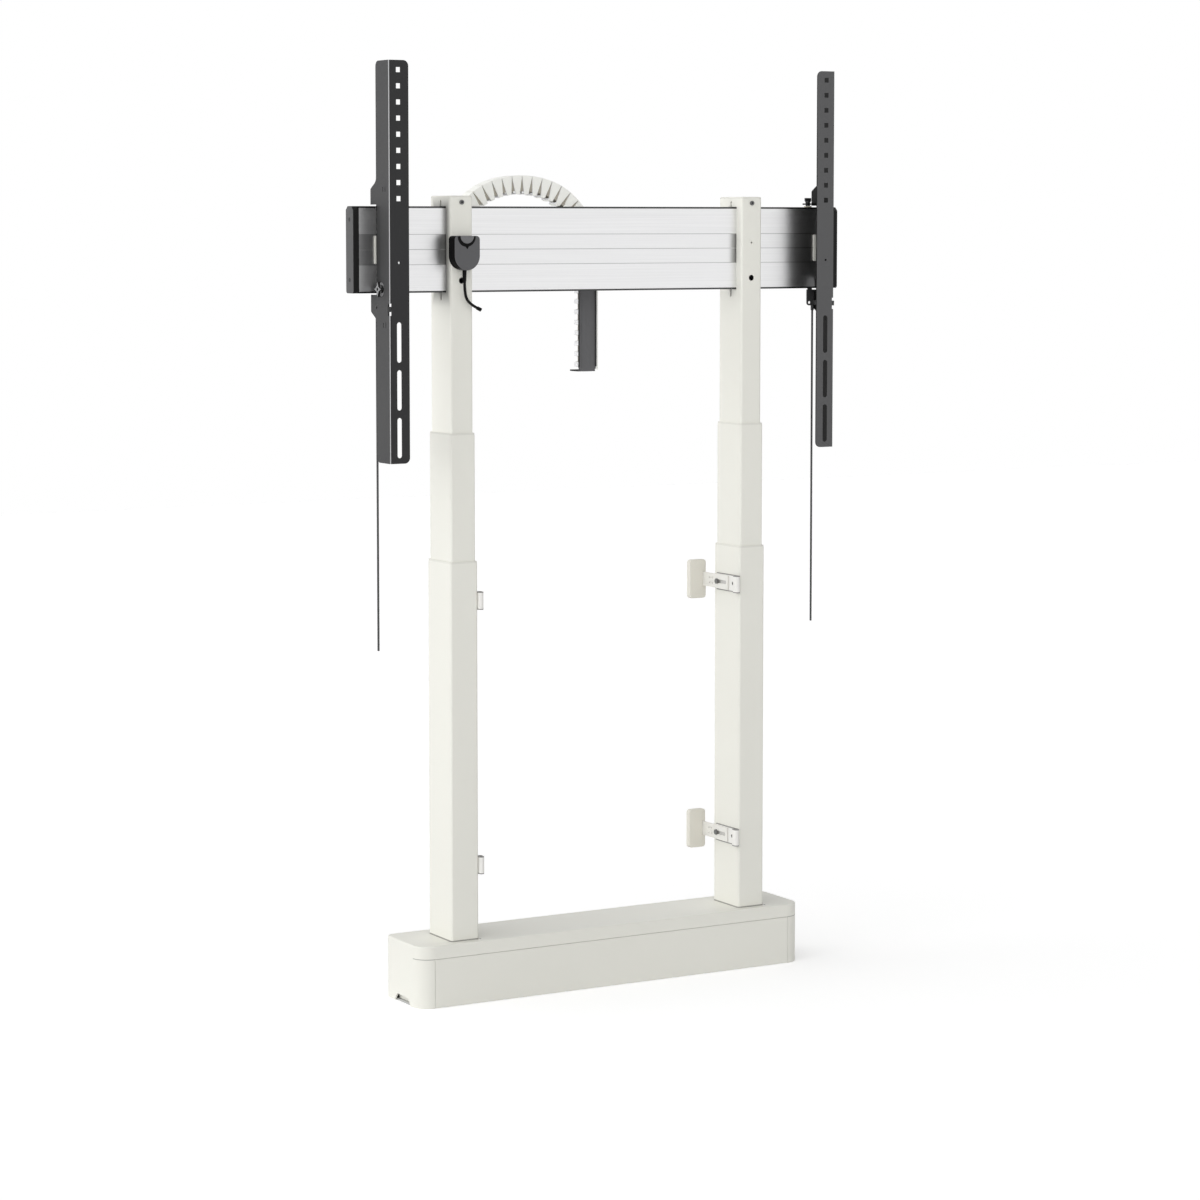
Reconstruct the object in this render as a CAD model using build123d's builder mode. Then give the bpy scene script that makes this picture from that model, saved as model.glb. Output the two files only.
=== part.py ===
from build123d import *
import math
import os

# Motorised two-column display lift, in millimetres. X runs along the cross bar, Y points to the
# wall and Z up. The origin lies on the floor, midway between the columns, on their centre line.

os.makedirs("parts", exist_ok=True)

# Travel
stroke_up = 250
stroke_down = 400
middle_up = stroke_up / 2
middle_down = stroke_down / 2

# Clearances
overrun = 2
shaft_gap = 0.05
fit_gap = 0.1
slide_gap = 0.15
seat_gap = 0.3
foot_gap = 1
flange_gap = 4

# Columns: three telescopic stages
column_spread = 546
column_x = column_spread / 2
outer_width = 50
outer_depth = 80
tube_wall = 1.5
head_wall = 2
stage_gap = 1
tube_corner = 4
outer_top = 713
middle_top = 919
middle_width = outer_width - 2 * (tube_wall + stage_gap)
middle_depth = outer_depth - 2 * (tube_wall + stage_gap)
inner_width = middle_width - 2 * (tube_wall + stage_gap)
inner_depth = middle_depth - 2 * (tube_wall + stage_gap)

# Glide collars on the outer and middle tubes
glide_lip = 3
glide_step = 0.3
glide_skirt = 40

# Base
base_end = 91
base_length = column_spread + 2 * base_end
base_front = 57.2
base_rear = 67.6
base_height = 101.3
base_depth = base_front + base_rear
base_mid_y = (base_rear - base_front) / 2
base_front_corner = 27
base_rear_corner = 13
base_edge = 2
cover_wall = 2.5
column_reveal = 1.5
panel_height = 80
panel_gap = 0.6
panel_half = base_length / 2 - base_front_corner
notch_height = 12
notch_top_width = 40
notch_floor_width = 56
frame_sheet = 3
frame_flange = 25
floor_hole = 9
floor_hole_clear = 15
floor_hole_y = 35

# Gearboxes and motors
gear_margin = 3
gear_shoulder = 2
gear_width = outer_width + 2 * gear_margin
gear_depth = outer_depth + 2 * gear_shoulder
gear_top = 48
gear_plug = 9
gear_chamfer = 4
gear_bolt = 6
gear_bolt_head = 10
gear_bolt_inset = 7
gear_ear = 14
gear_ear_height = 8
motor_size = 42
motor_length = 89
motor_z = 28
motor_cap = 30
motor_cap_length = 6
box_length = 170
box_depth = 76
box_height = 34
box_edge = 3
inlet_width = 28
inlet_height = 20
inlet_depth = 12

# Spindles
lower_screw = 16
lower_screw_foot = 20
keyway_width = 4
keyway_depth = 2.5
upper_screw = 28
upper_screw_bore = 18
upper_flange = 34
upper_flange_height = 4
key_bush = 20
key_engagement = 2
screw_spare = 27
nut_flange = 6
nut_plug = 18

gear_plug_top = gear_top + gear_plug
middle_bottom = gear_plug_top + foot_gap + nut_flange + middle_down
inner_bottom = middle_bottom + middle_down + nut_plug + flange_gap + nut_flange
middle_nut_top = middle_bottom + nut_plug
lower_screw_top = middle_nut_top + middle_up - upper_flange_height + key_bush + key_engagement
upper_screw_foot = middle_nut_top - upper_flange_height
upper_screw_top = inner_bottom + nut_plug + middle_up + screw_spare

# Cross bar
bar_low = 1146.4
bar_height = 136.7
bar_front = 19
bar_depth = 27
bar_mid_y = bar_depth / 2 - bar_front
bar_rear = bar_depth - bar_front
bar_top = bar_low + bar_height
bar_z = bar_low + bar_height / 2
bar_past_strip = 29
bar_front_wall = 3.5
bar_wall = 2.5
bar_web = 2
recess_height = 48
recess_depth = 1
centre_groove = 1.6
centre_groove_depth = 1.2
edge_groove = 1.5
edge_groove_depth = 1
edge_groove_inset = 1.6
rail_width = 7
rail_y = -10
rail_top_depth = 6
rail_low_depth = 9
port_size = 8
port_bore = 3.6
cap_screw_inset = 21
cap_length = 10
cap_front_round = 4
cap_rear_chamfer = 6
cap_screw = 3.5
cap_screw_reach = 14
cap_head = 6.5
cap_head_depth = 2.4

# Column heads
head_above = 16.9
head_top = bar_top + head_above
window_gap = 0.2
slit_width = 4
slit_y = -2
slit_above = 10
slit_below = 13
head_lid = 3
lid_round = 2.5
head_screw = 4
head_screw_head = 7.5
head_screw_head_height = 2.2
head_screw_above = 6.5
pin_hole = 3
pin_hole_above = 9.25
bolt_access = 10
bar_bolt_below = 49.5
bar_bolt = 6
bar_bolt_head = 9
bar_bolt_head_height = 6

# Display strips
vesa_half = 400
strip_hole_inset = 17
strip_sheet = 2.5
strip_front_width = 34.5
strip_reach = 48.3
strip_gap = 2.3
strip_length = 630
strip_drop = 20.15
strip_corner = 9
strip_fold_round = 3
hook_depth = 20
hook_top = 27
hook_low = 29.4
hook_blend = 12
hook_corner = 4
notch_gap = 2.5
square_hole = 8
square_hole_first = 15
hole_pitch = 25
square_hole_count = 9
slot_width = 8.5
slot_length = 63.5
slot_pitch = 75
slot_first = 439.55
slot_count = 3
gauge_hole = 4
slit_pair_height = 8.5
slit_pair_width = 1.6
slit_pair_spread = 8
slit_pair_y = 18
slit_pair_above = 26
slit_pair_below = 49.5
level_range = 1.5

fold_x = vesa_half + strip_hole_inset
flange_in_x = fold_x - strip_sheet
bar_half = fold_x + bar_past_strip
strip_front_y = -bar_front - strip_reach
strip_rear_y = -bar_front - strip_gap
hook_rear_y = strip_rear_y + hook_depth
strip_top = bar_z - strip_drop + strip_length / 2
strip_low = strip_top - strip_length

# Levelling screw, its ear on the strip and its shoe in the rail of the bar
level_inset = 15.5
level_x = fold_x - level_inset
level_screw = 8
level_head_width = 13
level_head_sheet = 3.5
level_collar = 10
level_collar_height = 2
level_head_height = 7
ear_above = 4
ear_reach = 22
ear_in_x = fold_x - ear_reach
ear_half_depth = 6.5
head_gap = 0.5
shoe_length = 14
shoe_above = 2

# Lock knob
knob_inset = 31.8
knob_y = strip_front_y + knob_inset
knob_above = 6.6
knob_hole = 24
knob_tip = 12
knob_waist = 5
knob_sheet = 4
knob_lift = 1.5
knob_stem = 13
knob_disc = 26.4
knob_disc_sheet = 2
knob_socket = 5
knob_socket_depth = 2.5

# Latch
latch_sheet = 2.3
latch_reach = 17
latch_plate_in_x = fold_x - latch_reach
latch_top_gap = 2.4
latch_low = 29.4
latch_corner = 5
nose_inset = 2
nose_width = 8
nose_bite = 3.6
latch_hole = 5
arm_front_gap = strip_sheet + seat_gap
arm_height = 8
arm_rise = 1
fold_window_low = 34.4
fold_window_height = 19
fold_window_width = 4
fold_window_depth = arm_front_gap + latch_sheet + 2 * seat_gap
latch_rivet = 4
rivet_below = 22.4
ferrule = 5.6
ferrule_length = 8
pull_cord = 3.5
pull_cord_length = 531

# Hand control
hand_width = 46.4
hand_thick = 19
hand_below = 46.7
hand_top = bar_top - hand_below
hand_height = 54.7
hand_corner = 6
hand_edge = 1.5
hand_gap = 0
button_radius = 12
button_groove = 1.3
button_thick = 3
button_rise = 0.6
button_floor = 0.8
button_pivot = 3
button_pivot_length = 14
button_pivot_below = 5
gland_size = 7
gland_tip = 5.6
gland_length = 17
hand_cable = 4.6
plug_size = 6
plug_length = 7

# Cable carrier
chain_half = 127
chain_inset = 26
chain_centre_x = chain_half - column_x + chain_inset
chain_clear = 4
chain_front = outer_depth / 2 + chain_clear
chain_width = 26
chain_height = 30.4
chain_spring_below = 78.1
chain_spring_z = bar_top - chain_spring_below
chain_side_radius = 110.9
chain_crown_radius = 160
chain_links = 23
chain_gap = 0.3
chain_wall = 2.6
chain_inner_share = 0.62
chain_floor_below = 13
chain_floor_z = outer_top - chain_floor_below
left_run_links = 30
right_run_links = 11
plate_front = outer_depth / 2
plate_sheet = 2.5
plate_half = 16
plate_offset = 7
plate_drop = 134.4
plate_low = bar_low - plate_drop
plate_corner = 8
plate_fold = 3
plate_fold_sheet = 1.5
plate_step_below = 19
plate_tab_height = 55
anchor_sheet = 2.5
anchor_height = 32
anchor_low = chain_floor_z - anchor_height

# Wall brackets
upper_bracket_below = 61
lower_bracket_z = 222
bracket_heights = (outer_top - upper_bracket_below, lower_bracket_z)
wall_gap = 38
wall_y = outer_depth / 2 + wall_gap
pad_width = 32
pad_height = 66
pad_depth = 10
pad_inset = 40
pad_mid_x = column_x - pad_inset
pad_corner = 5
pad_edge = 1.2
pad_front_wall = 3.5
pad_rim = 1.6
foot_gap_side = 0.2
arm_sheet = 2.5
arm_depth = 24
arm_slide_in = 5
arm_slide_out = 25
arm_nose = 5
clip_sheet = 2.5
clip_height = 29
clip_rear_inset = 6
clip_rear = outer_depth / 2 - clip_rear_inset
clip_chamfer = 7
clip_screw = 6
clip_screw_y = 22
clip_head = 9
clip_head_height = 2.5
loop_reach = 9
loop_depth = 14
loop_wall = 1.8
loop_inset = 2
loop_mid_y = loop_inset - outer_depth / 2
wall_hole = 6.5
small_hole = 3.2
small_hole_pitch = 9
small_hole_y = 42

sides = {"left": -1, "right": 1}
column_places = [(-column_x, 0), (column_x, 0)]


def save(made, name):
    """Labels a finished piece and writes its file."""
    made.label = name
    export_step(made, f"parts/{name}.step")


def save_pair(made, name):
    """Writes a right hand piece and its mirror image on the left."""
    save(made, f"right_{name}")
    save(mirror(made, about=Plane.YZ), f"left_{name}")


# Base cover: painted shell, open below, with the flush panel's opening, column openings and cable notches.
with BuildPart() as base_cover:
    with BuildSketch() as cover_outline:
        with Locations((0, base_mid_y)):
            Rectangle(base_length, base_depth)
        fillet(cover_outline.vertices().group_by(Axis.Y)[0], base_front_corner)
        fillet(cover_outline.vertices().group_by(Axis.Y)[-1], base_rear_corner)
    extrude(amount=base_height)
    fillet(base_cover.faces().sort_by(Axis.Z)[-1].outer_wire().edges(), base_edge)
    with BuildSketch() as cover_inside:
        with Locations((0, base_mid_y)):
            Rectangle(base_length - 2 * cover_wall, base_depth - 2 * cover_wall)
        fillet(cover_inside.vertices().group_by(Axis.Y)[0], base_front_corner - cover_wall)
        fillet(cover_inside.vertices().group_by(Axis.Y)[-1], base_rear_corner - cover_wall)
    extrude(amount=base_height - cover_wall, mode=Mode.SUBTRACT)
    with BuildSketch(Plane.XY.offset(base_height - cover_wall)):
        with Locations(*column_places):
            RectangleRounded(
                outer_width + 2 * column_reveal,
                outer_depth + 2 * column_reveal,
                tube_corner + column_reveal,
            )
    extrude(amount=cover_wall, mode=Mode.SUBTRACT)
    with BuildSketch(Plane.XZ.offset(base_front - cover_wall)):
        with Locations((0, panel_height / 2)):
            Rectangle(2 * panel_half, panel_height)
    extrude(amount=cover_wall, mode=Mode.SUBTRACT)
    with BuildSketch(Plane.YZ):
        with BuildLine():
            Polyline(
                (base_mid_y - notch_floor_width / 2, 0),
                (base_mid_y + notch_floor_width / 2, 0),
                (base_mid_y + notch_top_width / 2, notch_height),
                (base_mid_y - notch_top_width / 2, notch_height),
                close=True,
            )
        make_face()
    extrude(amount=base_length / 2 + overrun, both=True, mode=Mode.SUBTRACT)
save(base_cover.part, "base_cover")

# Front panel: flush in the cover's front, seated on the floor frame's front flange.
with BuildPart() as front_panel:
    with BuildSketch(Plane.XZ.offset(base_front - cover_wall)):
        with Locations((0, panel_height / 2)):
            Rectangle(2 * (panel_half - panel_gap), panel_height - 2 * panel_gap)
    extrude(amount=cover_wall)
save(front_panel.part, "front_panel")

# Floor frame: folded steel tray that stands on the floor and carries both columns.
frame_inset = cover_wall + seat_gap
frame_front = base_front - frame_inset
frame_rear = base_rear - frame_inset
floor_hole_x = column_x + gear_width / 2 + gear_ear + floor_hole_clear
with BuildPart() as floor_frame:
    with BuildSketch() as frame_outline:
        with Locations((0, base_mid_y)):
            Rectangle(base_length - 2 * frame_inset, base_depth - 2 * frame_inset)
        fillet(frame_outline.vertices().group_by(Axis.Y)[0], base_front_corner - frame_inset)
        fillet(frame_outline.vertices().group_by(Axis.Y)[-1], base_rear_corner - frame_inset)
    extrude(amount=frame_sheet)
    with BuildSketch(Plane.XY.offset(frame_sheet)):
        with Locations(
            (0, frame_sheet / 2 - frame_front),
            (0, frame_rear - frame_sheet / 2),
        ):
            Rectangle(2 * (panel_half - cover_wall), frame_sheet)
    extrude(amount=frame_flange - frame_sheet)
    with BuildSketch() as floor_holes:
        with GridLocations(2 * floor_hole_x, 2 * floor_hole_y, 2, 2):
            Circle(floor_hole / 2)
    extrude(amount=frame_sheet, mode=Mode.SUBTRACT)
save(floor_frame.part, "floor_frame")

# Gearboxes: cast blocks that the outer tubes stand on, with a locating rim inside each tube.
with BuildPart() as gearboxes:
    with BuildSketch(Plane.XY.offset(frame_sheet)) as gear_outline:
        with Locations(*column_places):
            Rectangle(gear_width, gear_depth)
        chamfer(gear_outline.vertices(), gear_chamfer)
    extrude(amount=gear_top - frame_sheet)
    with BuildSketch(Plane.XY.offset(gear_top)):
        with Locations(*column_places):
            RectangleRounded(
                outer_width - 2 * (tube_wall + fit_gap),
                outer_depth - 2 * (tube_wall + fit_gap),
                tube_corner - tube_wall - fit_gap,
            )
    extrude(amount=gear_plug)
    with BuildSketch(Plane.XY.offset(lower_screw_foot)):
        with Locations(*column_places):
            Circle(lower_screw / 2 + shaft_gap)
    extrude(amount=gear_plug_top - lower_screw_foot, mode=Mode.SUBTRACT)
    with BuildSketch(Plane.XY.offset(frame_sheet)) as gear_ears:
        with Locations(
            (-column_x - gear_width / 2 - gear_ear / 2, 0),
            (column_x + gear_width / 2 + gear_ear / 2, 0),
        ):
            Rectangle(gear_ear, gear_depth)
    extrude(amount=gear_ear_height)
save(gearboxes.part, "gearboxes")

# Lift motors: round gear motors that lie along the base, flanged to the gearboxes' inner faces.
with BuildPart() as lift_motors:
    for side in sides.values():
        face_x = side * (column_x - gear_width / 2)
        with BuildSketch(Plane.YZ.offset(face_x)):
            with Locations((0, motor_z)):
                Circle(motor_size / 2)
        extrude(amount=-side * motor_length)
        with BuildSketch(Plane.YZ.offset(face_x - side * motor_length)):
            with Locations((0, motor_z)):
                Circle(motor_cap / 2)
        extrude(amount=-side * motor_cap_length)
save(lift_motors.part, "lift_motors")

# Control box: moulded case on the frame between the motors, with its mains inlet at the rear.
with BuildPart() as control_box:
    with BuildSketch(Plane.XY.offset(frame_sheet)):
        RectangleRounded(box_length, box_depth, box_edge)
    extrude(amount=box_height)
    fillet(control_box.faces().sort_by(Axis.Z)[-1].edges(), box_edge / 2)
    with BuildSketch(Plane.XZ.offset(-box_depth / 2)):
        with Locations((0, frame_sheet + box_height / 2)):
            Rectangle(inlet_width, inlet_height)
    extrude(amount=inlet_depth, mode=Mode.SUBTRACT)
save(control_box.part, "control_box")

# Outer and middle tubes of both columns.
for side_name, side in sides.items():
    x = side * column_x
    with BuildPart() as outer_tube:
        with BuildSketch(Plane.XY.offset(gear_top)):
            with Locations((x, 0)):
                RectangleRounded(outer_width, outer_depth, tube_corner)
                RectangleRounded(
                    outer_width - 2 * tube_wall,
                    outer_depth - 2 * tube_wall,
                    tube_corner - tube_wall,
                    mode=Mode.SUBTRACT,
                )
        extrude(amount=outer_top - gear_top)
    save(outer_tube.part, f"{side_name}_outer_tube")

    with BuildPart() as middle_tube:
        with BuildSketch(Plane.XY.offset(middle_bottom)):
            with Locations((x, 0)):
                RectangleRounded(middle_width, middle_depth, tube_corner)
                RectangleRounded(
                    middle_width - 2 * tube_wall,
                    middle_depth - 2 * tube_wall,
                    tube_corner - tube_wall,
                    mode=Mode.SUBTRACT,
                )
        extrude(amount=middle_top - middle_bottom)
    save(middle_tube.part, f"{side_name}_middle_tube")

# Glide collars: a lip on the tube's end and a skirt between the tubes, cut to the sliding tube.
with BuildPart() as outer_glides:
    with BuildSketch(Plane.XY.offset(outer_top)):
        with Locations(*column_places):
            RectangleRounded(
                outer_width - 2 * glide_step, outer_depth - 2 * glide_step, tube_corner
            )
    extrude(amount=glide_lip)
    with BuildSketch(Plane.XY.offset(outer_top - glide_skirt)):
        with Locations(*column_places):
            RectangleRounded(
                outer_width - 2 * (tube_wall + fit_gap),
                outer_depth - 2 * (tube_wall + fit_gap),
                tube_corner - tube_wall,
            )
    extrude(amount=glide_skirt)
    with BuildSketch(Plane.XY.offset(outer_top - glide_skirt)):
        with Locations(*column_places):
            RectangleRounded(
                middle_width + 2 * slide_gap, middle_depth + 2 * slide_gap, tube_corner
            )
    extrude(amount=glide_skirt + glide_lip, mode=Mode.SUBTRACT)
save(outer_glides.part, "outer_glides")

for side_name, side in sides.items():
    x = side * column_x
    with BuildPart() as middle_glide:
        with BuildSketch(Plane.XY.offset(middle_top)):
            with Locations((x, 0)):
                RectangleRounded(
                    middle_width - 2 * glide_step, middle_depth - 2 * glide_step, tube_corner
                )
        extrude(amount=glide_lip)
        with BuildSketch(Plane.XY.offset(middle_top - glide_skirt)):
            with Locations((x, 0)):
                RectangleRounded(
                    middle_width - 2 * (tube_wall + fit_gap),
                    middle_depth - 2 * (tube_wall + fit_gap),
                    tube_corner - tube_wall,
                )
        extrude(amount=glide_skirt)
        with BuildSketch(Plane.XY.offset(middle_top - glide_skirt)):
            with Locations((x, 0)):
                RectangleRounded(
                    inner_width + 2 * slide_gap, inner_depth + 2 * slide_gap, tube_corner
                )
        extrude(amount=glide_skirt + glide_lip, mode=Mode.SUBTRACT)
    save(middle_glide.part, f"{side_name}_middle_glide")

    # Spindle nut and foot of the middle tube; the upper spindle's flange turns in its top.
    with BuildPart() as middle_nut:
        with BuildSketch(Plane.XY.offset(middle_bottom - nut_flange)):
            with Locations((x, 0)):
                RectangleRounded(
                    outer_width - 2 * (tube_wall + fit_gap),
                    outer_depth - 2 * (tube_wall + fit_gap),
                    tube_corner - tube_wall,
                )
        extrude(amount=nut_flange)
        with BuildSketch(Plane.XY.offset(middle_bottom)):
            with Locations((x, 0)):
                RectangleRounded(
                    middle_width - 2 * (tube_wall + fit_gap),
                    middle_depth - 2 * (tube_wall + fit_gap),
                    tube_corner - tube_wall,
                )
        extrude(amount=nut_plug)
        with BuildSketch(Plane.XY.offset(middle_bottom - nut_flange)):
            with Locations((x, 0)):
                Circle(lower_screw / 2 + shaft_gap)
        extrude(amount=nut_flange + nut_plug, mode=Mode.SUBTRACT)
        with BuildSketch(Plane.XY.offset(upper_screw_foot)):
            with Locations((x, 0)):
                Circle(upper_flange / 2 + shaft_gap)
        extrude(amount=upper_flange_height, mode=Mode.SUBTRACT)
    save(middle_nut.part, f"{side_name}_middle_nut")

    # Lower spindle with a keyway along its whole front.
    with BuildPart() as lower_spindle:
        with BuildSketch(Plane.XY.offset(lower_screw_foot)):
            with Locations((x, 0)):
                Circle(lower_screw / 2)
            with Locations((x, keyway_depth / 2 - lower_screw / 2)):
                Rectangle(keyway_width, keyway_depth, mode=Mode.SUBTRACT)
        extrude(amount=lower_screw_top - lower_screw_foot)
    save(lower_spindle.part, f"{side_name}_lower_screw")

    # Upper spindle: hollow, driven by a key that slides in the lower spindle's keyway.
    with BuildPart() as upper_spindle:
        with BuildSketch(Plane.XY.offset(upper_screw_foot)):
            with Locations((x, 0)):
                Circle(upper_screw / 2)
                Circle(lower_screw / 2 + shaft_gap, mode=Mode.SUBTRACT)
            with Locations((x, (keyway_depth - shaft_gap) / 2 - lower_screw / 2 - shaft_gap)):
                Rectangle(keyway_width - 2 * shaft_gap, keyway_depth - shaft_gap)
        extrude(amount=key_bush)
        with BuildSketch(Plane.XY.offset(upper_screw_foot + key_bush)):
            with Locations((x, 0)):
                Circle(upper_screw / 2)
                Circle(upper_screw_bore / 2, mode=Mode.SUBTRACT)
        extrude(amount=upper_screw_top - upper_screw_foot - key_bush)
        with BuildSketch(Plane.XY.offset(upper_screw_foot)):
            with Locations((x, 0)):
                Circle(upper_flange / 2)
                Circle(upper_screw / 2, mode=Mode.SUBTRACT)
        extrude(amount=upper_flange_height)
    save(upper_spindle.part, f"{side_name}_upper_screw")

    # Spindle nut and foot of the inner tube.
    with BuildPart() as inner_nut:
        with BuildSketch(Plane.XY.offset(inner_bottom - nut_flange)):
            with Locations((x, 0)):
                RectangleRounded(
                    middle_width - 2 * (tube_wall + fit_gap),
                    middle_depth - 2 * (tube_wall + fit_gap),
                    tube_corner - tube_wall,
                )
        extrude(amount=nut_flange)
        with BuildSketch(Plane.XY.offset(inner_bottom)):
            with Locations((x, 0)):
                RectangleRounded(
                    inner_width - 2 * (head_wall + fit_gap),
                    inner_depth - 2 * (head_wall + fit_gap),
                    tube_corner - head_wall,
                )
        extrude(amount=nut_plug)
        with BuildSketch(Plane.XY.offset(inner_bottom - nut_flange)):
            with Locations((x, 0)):
                Circle(upper_screw / 2 + shaft_gap)
        extrude(amount=nut_flange + nut_plug, mode=Mode.SUBTRACT)
    save(inner_nut.part, f"{side_name}_inner_nut")

    # Inner tube: its head has the bar's window through both sides, relief slits and front holes.
    lid_z = head_top - head_lid
    with BuildPart() as inner_tube:
        with BuildSketch(Plane.XY.offset(inner_bottom)):
            with Locations((x, 0)):
                RectangleRounded(inner_width, inner_depth, tube_corner)
                RectangleRounded(
                    inner_width - 2 * head_wall,
                    inner_depth - 2 * head_wall,
                    tube_corner - head_wall,
                    mode=Mode.SUBTRACT,
                )
        extrude(amount=lid_z - inner_bottom)
        with BuildSketch(Plane.YZ.offset(x)):
            with Locations((bar_mid_y, bar_z)):
                Rectangle(bar_depth + 2 * window_gap, bar_height + 2 * window_gap)
            with Locations((slit_y, bar_z + (slit_above - slit_below) / 2)):
                SlotOverall(
                    bar_height + slit_above + slit_below, slit_width, rotation=90
                )
        extrude(amount=inner_width / 2 + overrun, both=True, mode=Mode.SUBTRACT)
        with BuildSketch(Plane.XZ.offset(inner_depth / 2 - head_wall)):
            with Locations((x, bar_top + head_screw_above)):
                Circle(head_screw / 2 + shaft_gap)
            with Locations((x, bar_z + pin_hole_above)):
                Circle(pin_hole / 2)
            with Locations((x, bar_z - bar_bolt_below)):
                Circle(bolt_access / 2)
        extrude(amount=head_wall, mode=Mode.SUBTRACT)
    save(inner_tube.part, f"{side_name}_inner_tube")

# Head plugs: moulded lids that close the inner tubes above the bar.
plug_low = bar_top + window_gap
with BuildPart() as head_plugs:
    with BuildSketch(Plane.XY.offset(plug_low)):
        with Locations(*column_places):
            RectangleRounded(
                inner_width - 2 * (head_wall + fit_gap),
                inner_depth - 2 * (head_wall + fit_gap),
                tube_corner - head_wall,
            )
    extrude(amount=lid_z - plug_low)
    with BuildSketch(Plane.XY.offset(lid_z)):
        with Locations(*column_places):
            RectangleRounded(inner_width, inner_depth, tube_corner)
    extrude(amount=head_lid)
    fillet(head_plugs.faces().sort_by(Axis.Z)[-2:].edges(), lid_round)
    with BuildSketch(Plane.XZ.offset(inner_depth / 2 - head_wall - bar_bolt_head)):
        with Locations((-column_x, bar_top + head_screw_above), (column_x, bar_top + head_screw_above)):
            Circle(head_screw / 2 + shaft_gap)
    extrude(amount=bar_bolt_head, mode=Mode.SUBTRACT)
save(head_plugs.part, "head_plugs")

# Cross bar: one aluminium extrusion with raised bands, chambers, screw ports and a rail in each edge.
port_zs = (bar_top - cap_screw_inset, bar_low + cap_screw_inset)
with BuildPart() as crossbar:
    with BuildSketch(Plane.YZ.offset(-bar_half)):
        with Locations((bar_mid_y, bar_z)):
            Rectangle(bar_depth, bar_height)
        with Locations((recess_depth / 2 - bar_front, bar_z)):
            Rectangle(recess_depth, recess_height, mode=Mode.SUBTRACT)
        with Locations((recess_depth + centre_groove_depth / 2 - bar_front, bar_z)):
            Rectangle(centre_groove_depth, centre_groove, mode=Mode.SUBTRACT)
        edge_z = edge_groove_inset + edge_groove / 2
        with Locations(
            (edge_groove_depth / 2 - bar_front, bar_top - edge_z),
            (edge_groove_depth / 2 - bar_front, bar_low + edge_z),
        ):
            Rectangle(edge_groove_depth, edge_groove, mode=Mode.SUBTRACT)
        with Locations((rail_y, bar_top - rail_top_depth / 2)):
            Rectangle(rail_width, rail_top_depth, mode=Mode.SUBTRACT)
        with Locations((rail_y, bar_low + rail_low_depth / 2)):
            Rectangle(rail_width, rail_low_depth, mode=Mode.SUBTRACT)
        chamber_depth = bar_depth - bar_front_wall - bar_wall
        chamber_y = bar_front_wall - bar_front + chamber_depth / 2
        chamber_zs = (
            bar_top - rail_top_depth - bar_wall,
            port_zs[0] + bar_web / 2,
            port_zs[0] - bar_web / 2,
            bar_z + recess_height / 2 + bar_web / 2,
            bar_z + recess_height / 2 - bar_web / 2,
            bar_z - recess_height / 2 + bar_web / 2,
            bar_z - recess_height / 2 - bar_web / 2,
            port_zs[1] + bar_web / 2,
            port_zs[1] - bar_web / 2,
            bar_low + rail_low_depth + bar_wall,
        )
        for high, low in zip(chamber_zs[::2], chamber_zs[1::2]):
            with Locations((chamber_y, (high + low) / 2)):
                Rectangle(chamber_depth, high - low, mode=Mode.SUBTRACT)
        with Locations((bar_mid_y, port_zs[0]), (bar_mid_y, port_zs[1])):
            Circle(port_size / 2)
            Circle(port_bore / 2, mode=Mode.SUBTRACT)
    extrude(amount=2 * bar_half)
    with BuildSketch(Plane.XZ.offset(bar_front - bar_front_wall)):
        with Locations((-column_x, bar_z - bar_bolt_below), (column_x, bar_z - bar_bolt_below)):
            Circle(bar_bolt / 2 + shaft_gap)
    extrude(amount=bar_front_wall, mode=Mode.SUBTRACT)
save(crossbar.part, "crossbar")

# End cap of the bar: chamfered behind, rounded in front, with two countersunk screws.
with BuildPart() as end_cap:
    with BuildSketch(Plane.YZ.offset(bar_half)) as cap_outline:
        with Locations((bar_mid_y, bar_z)):
            Rectangle(bar_depth, bar_height)
        chamfer(cap_outline.vertices().group_by(Axis.Y)[-1], cap_rear_chamfer)
        fillet(cap_outline.vertices().group_by(Axis.Y)[0], cap_front_round)
    extrude(amount=cap_length)
    fillet(end_cap.faces().sort_by(Axis.X)[-1].edges(), base_edge / 2)
    with Locations(Plane.YZ.offset(bar_half + cap_length)):
        with Locations((bar_mid_y, port_zs[0]), (bar_mid_y, port_zs[1])):
            CounterBoreHole(cap_screw / 2 + shaft_gap, cap_head / 2 + fit_gap, cap_head_depth)
save_pair(end_cap.part, "end_cap")

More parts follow.
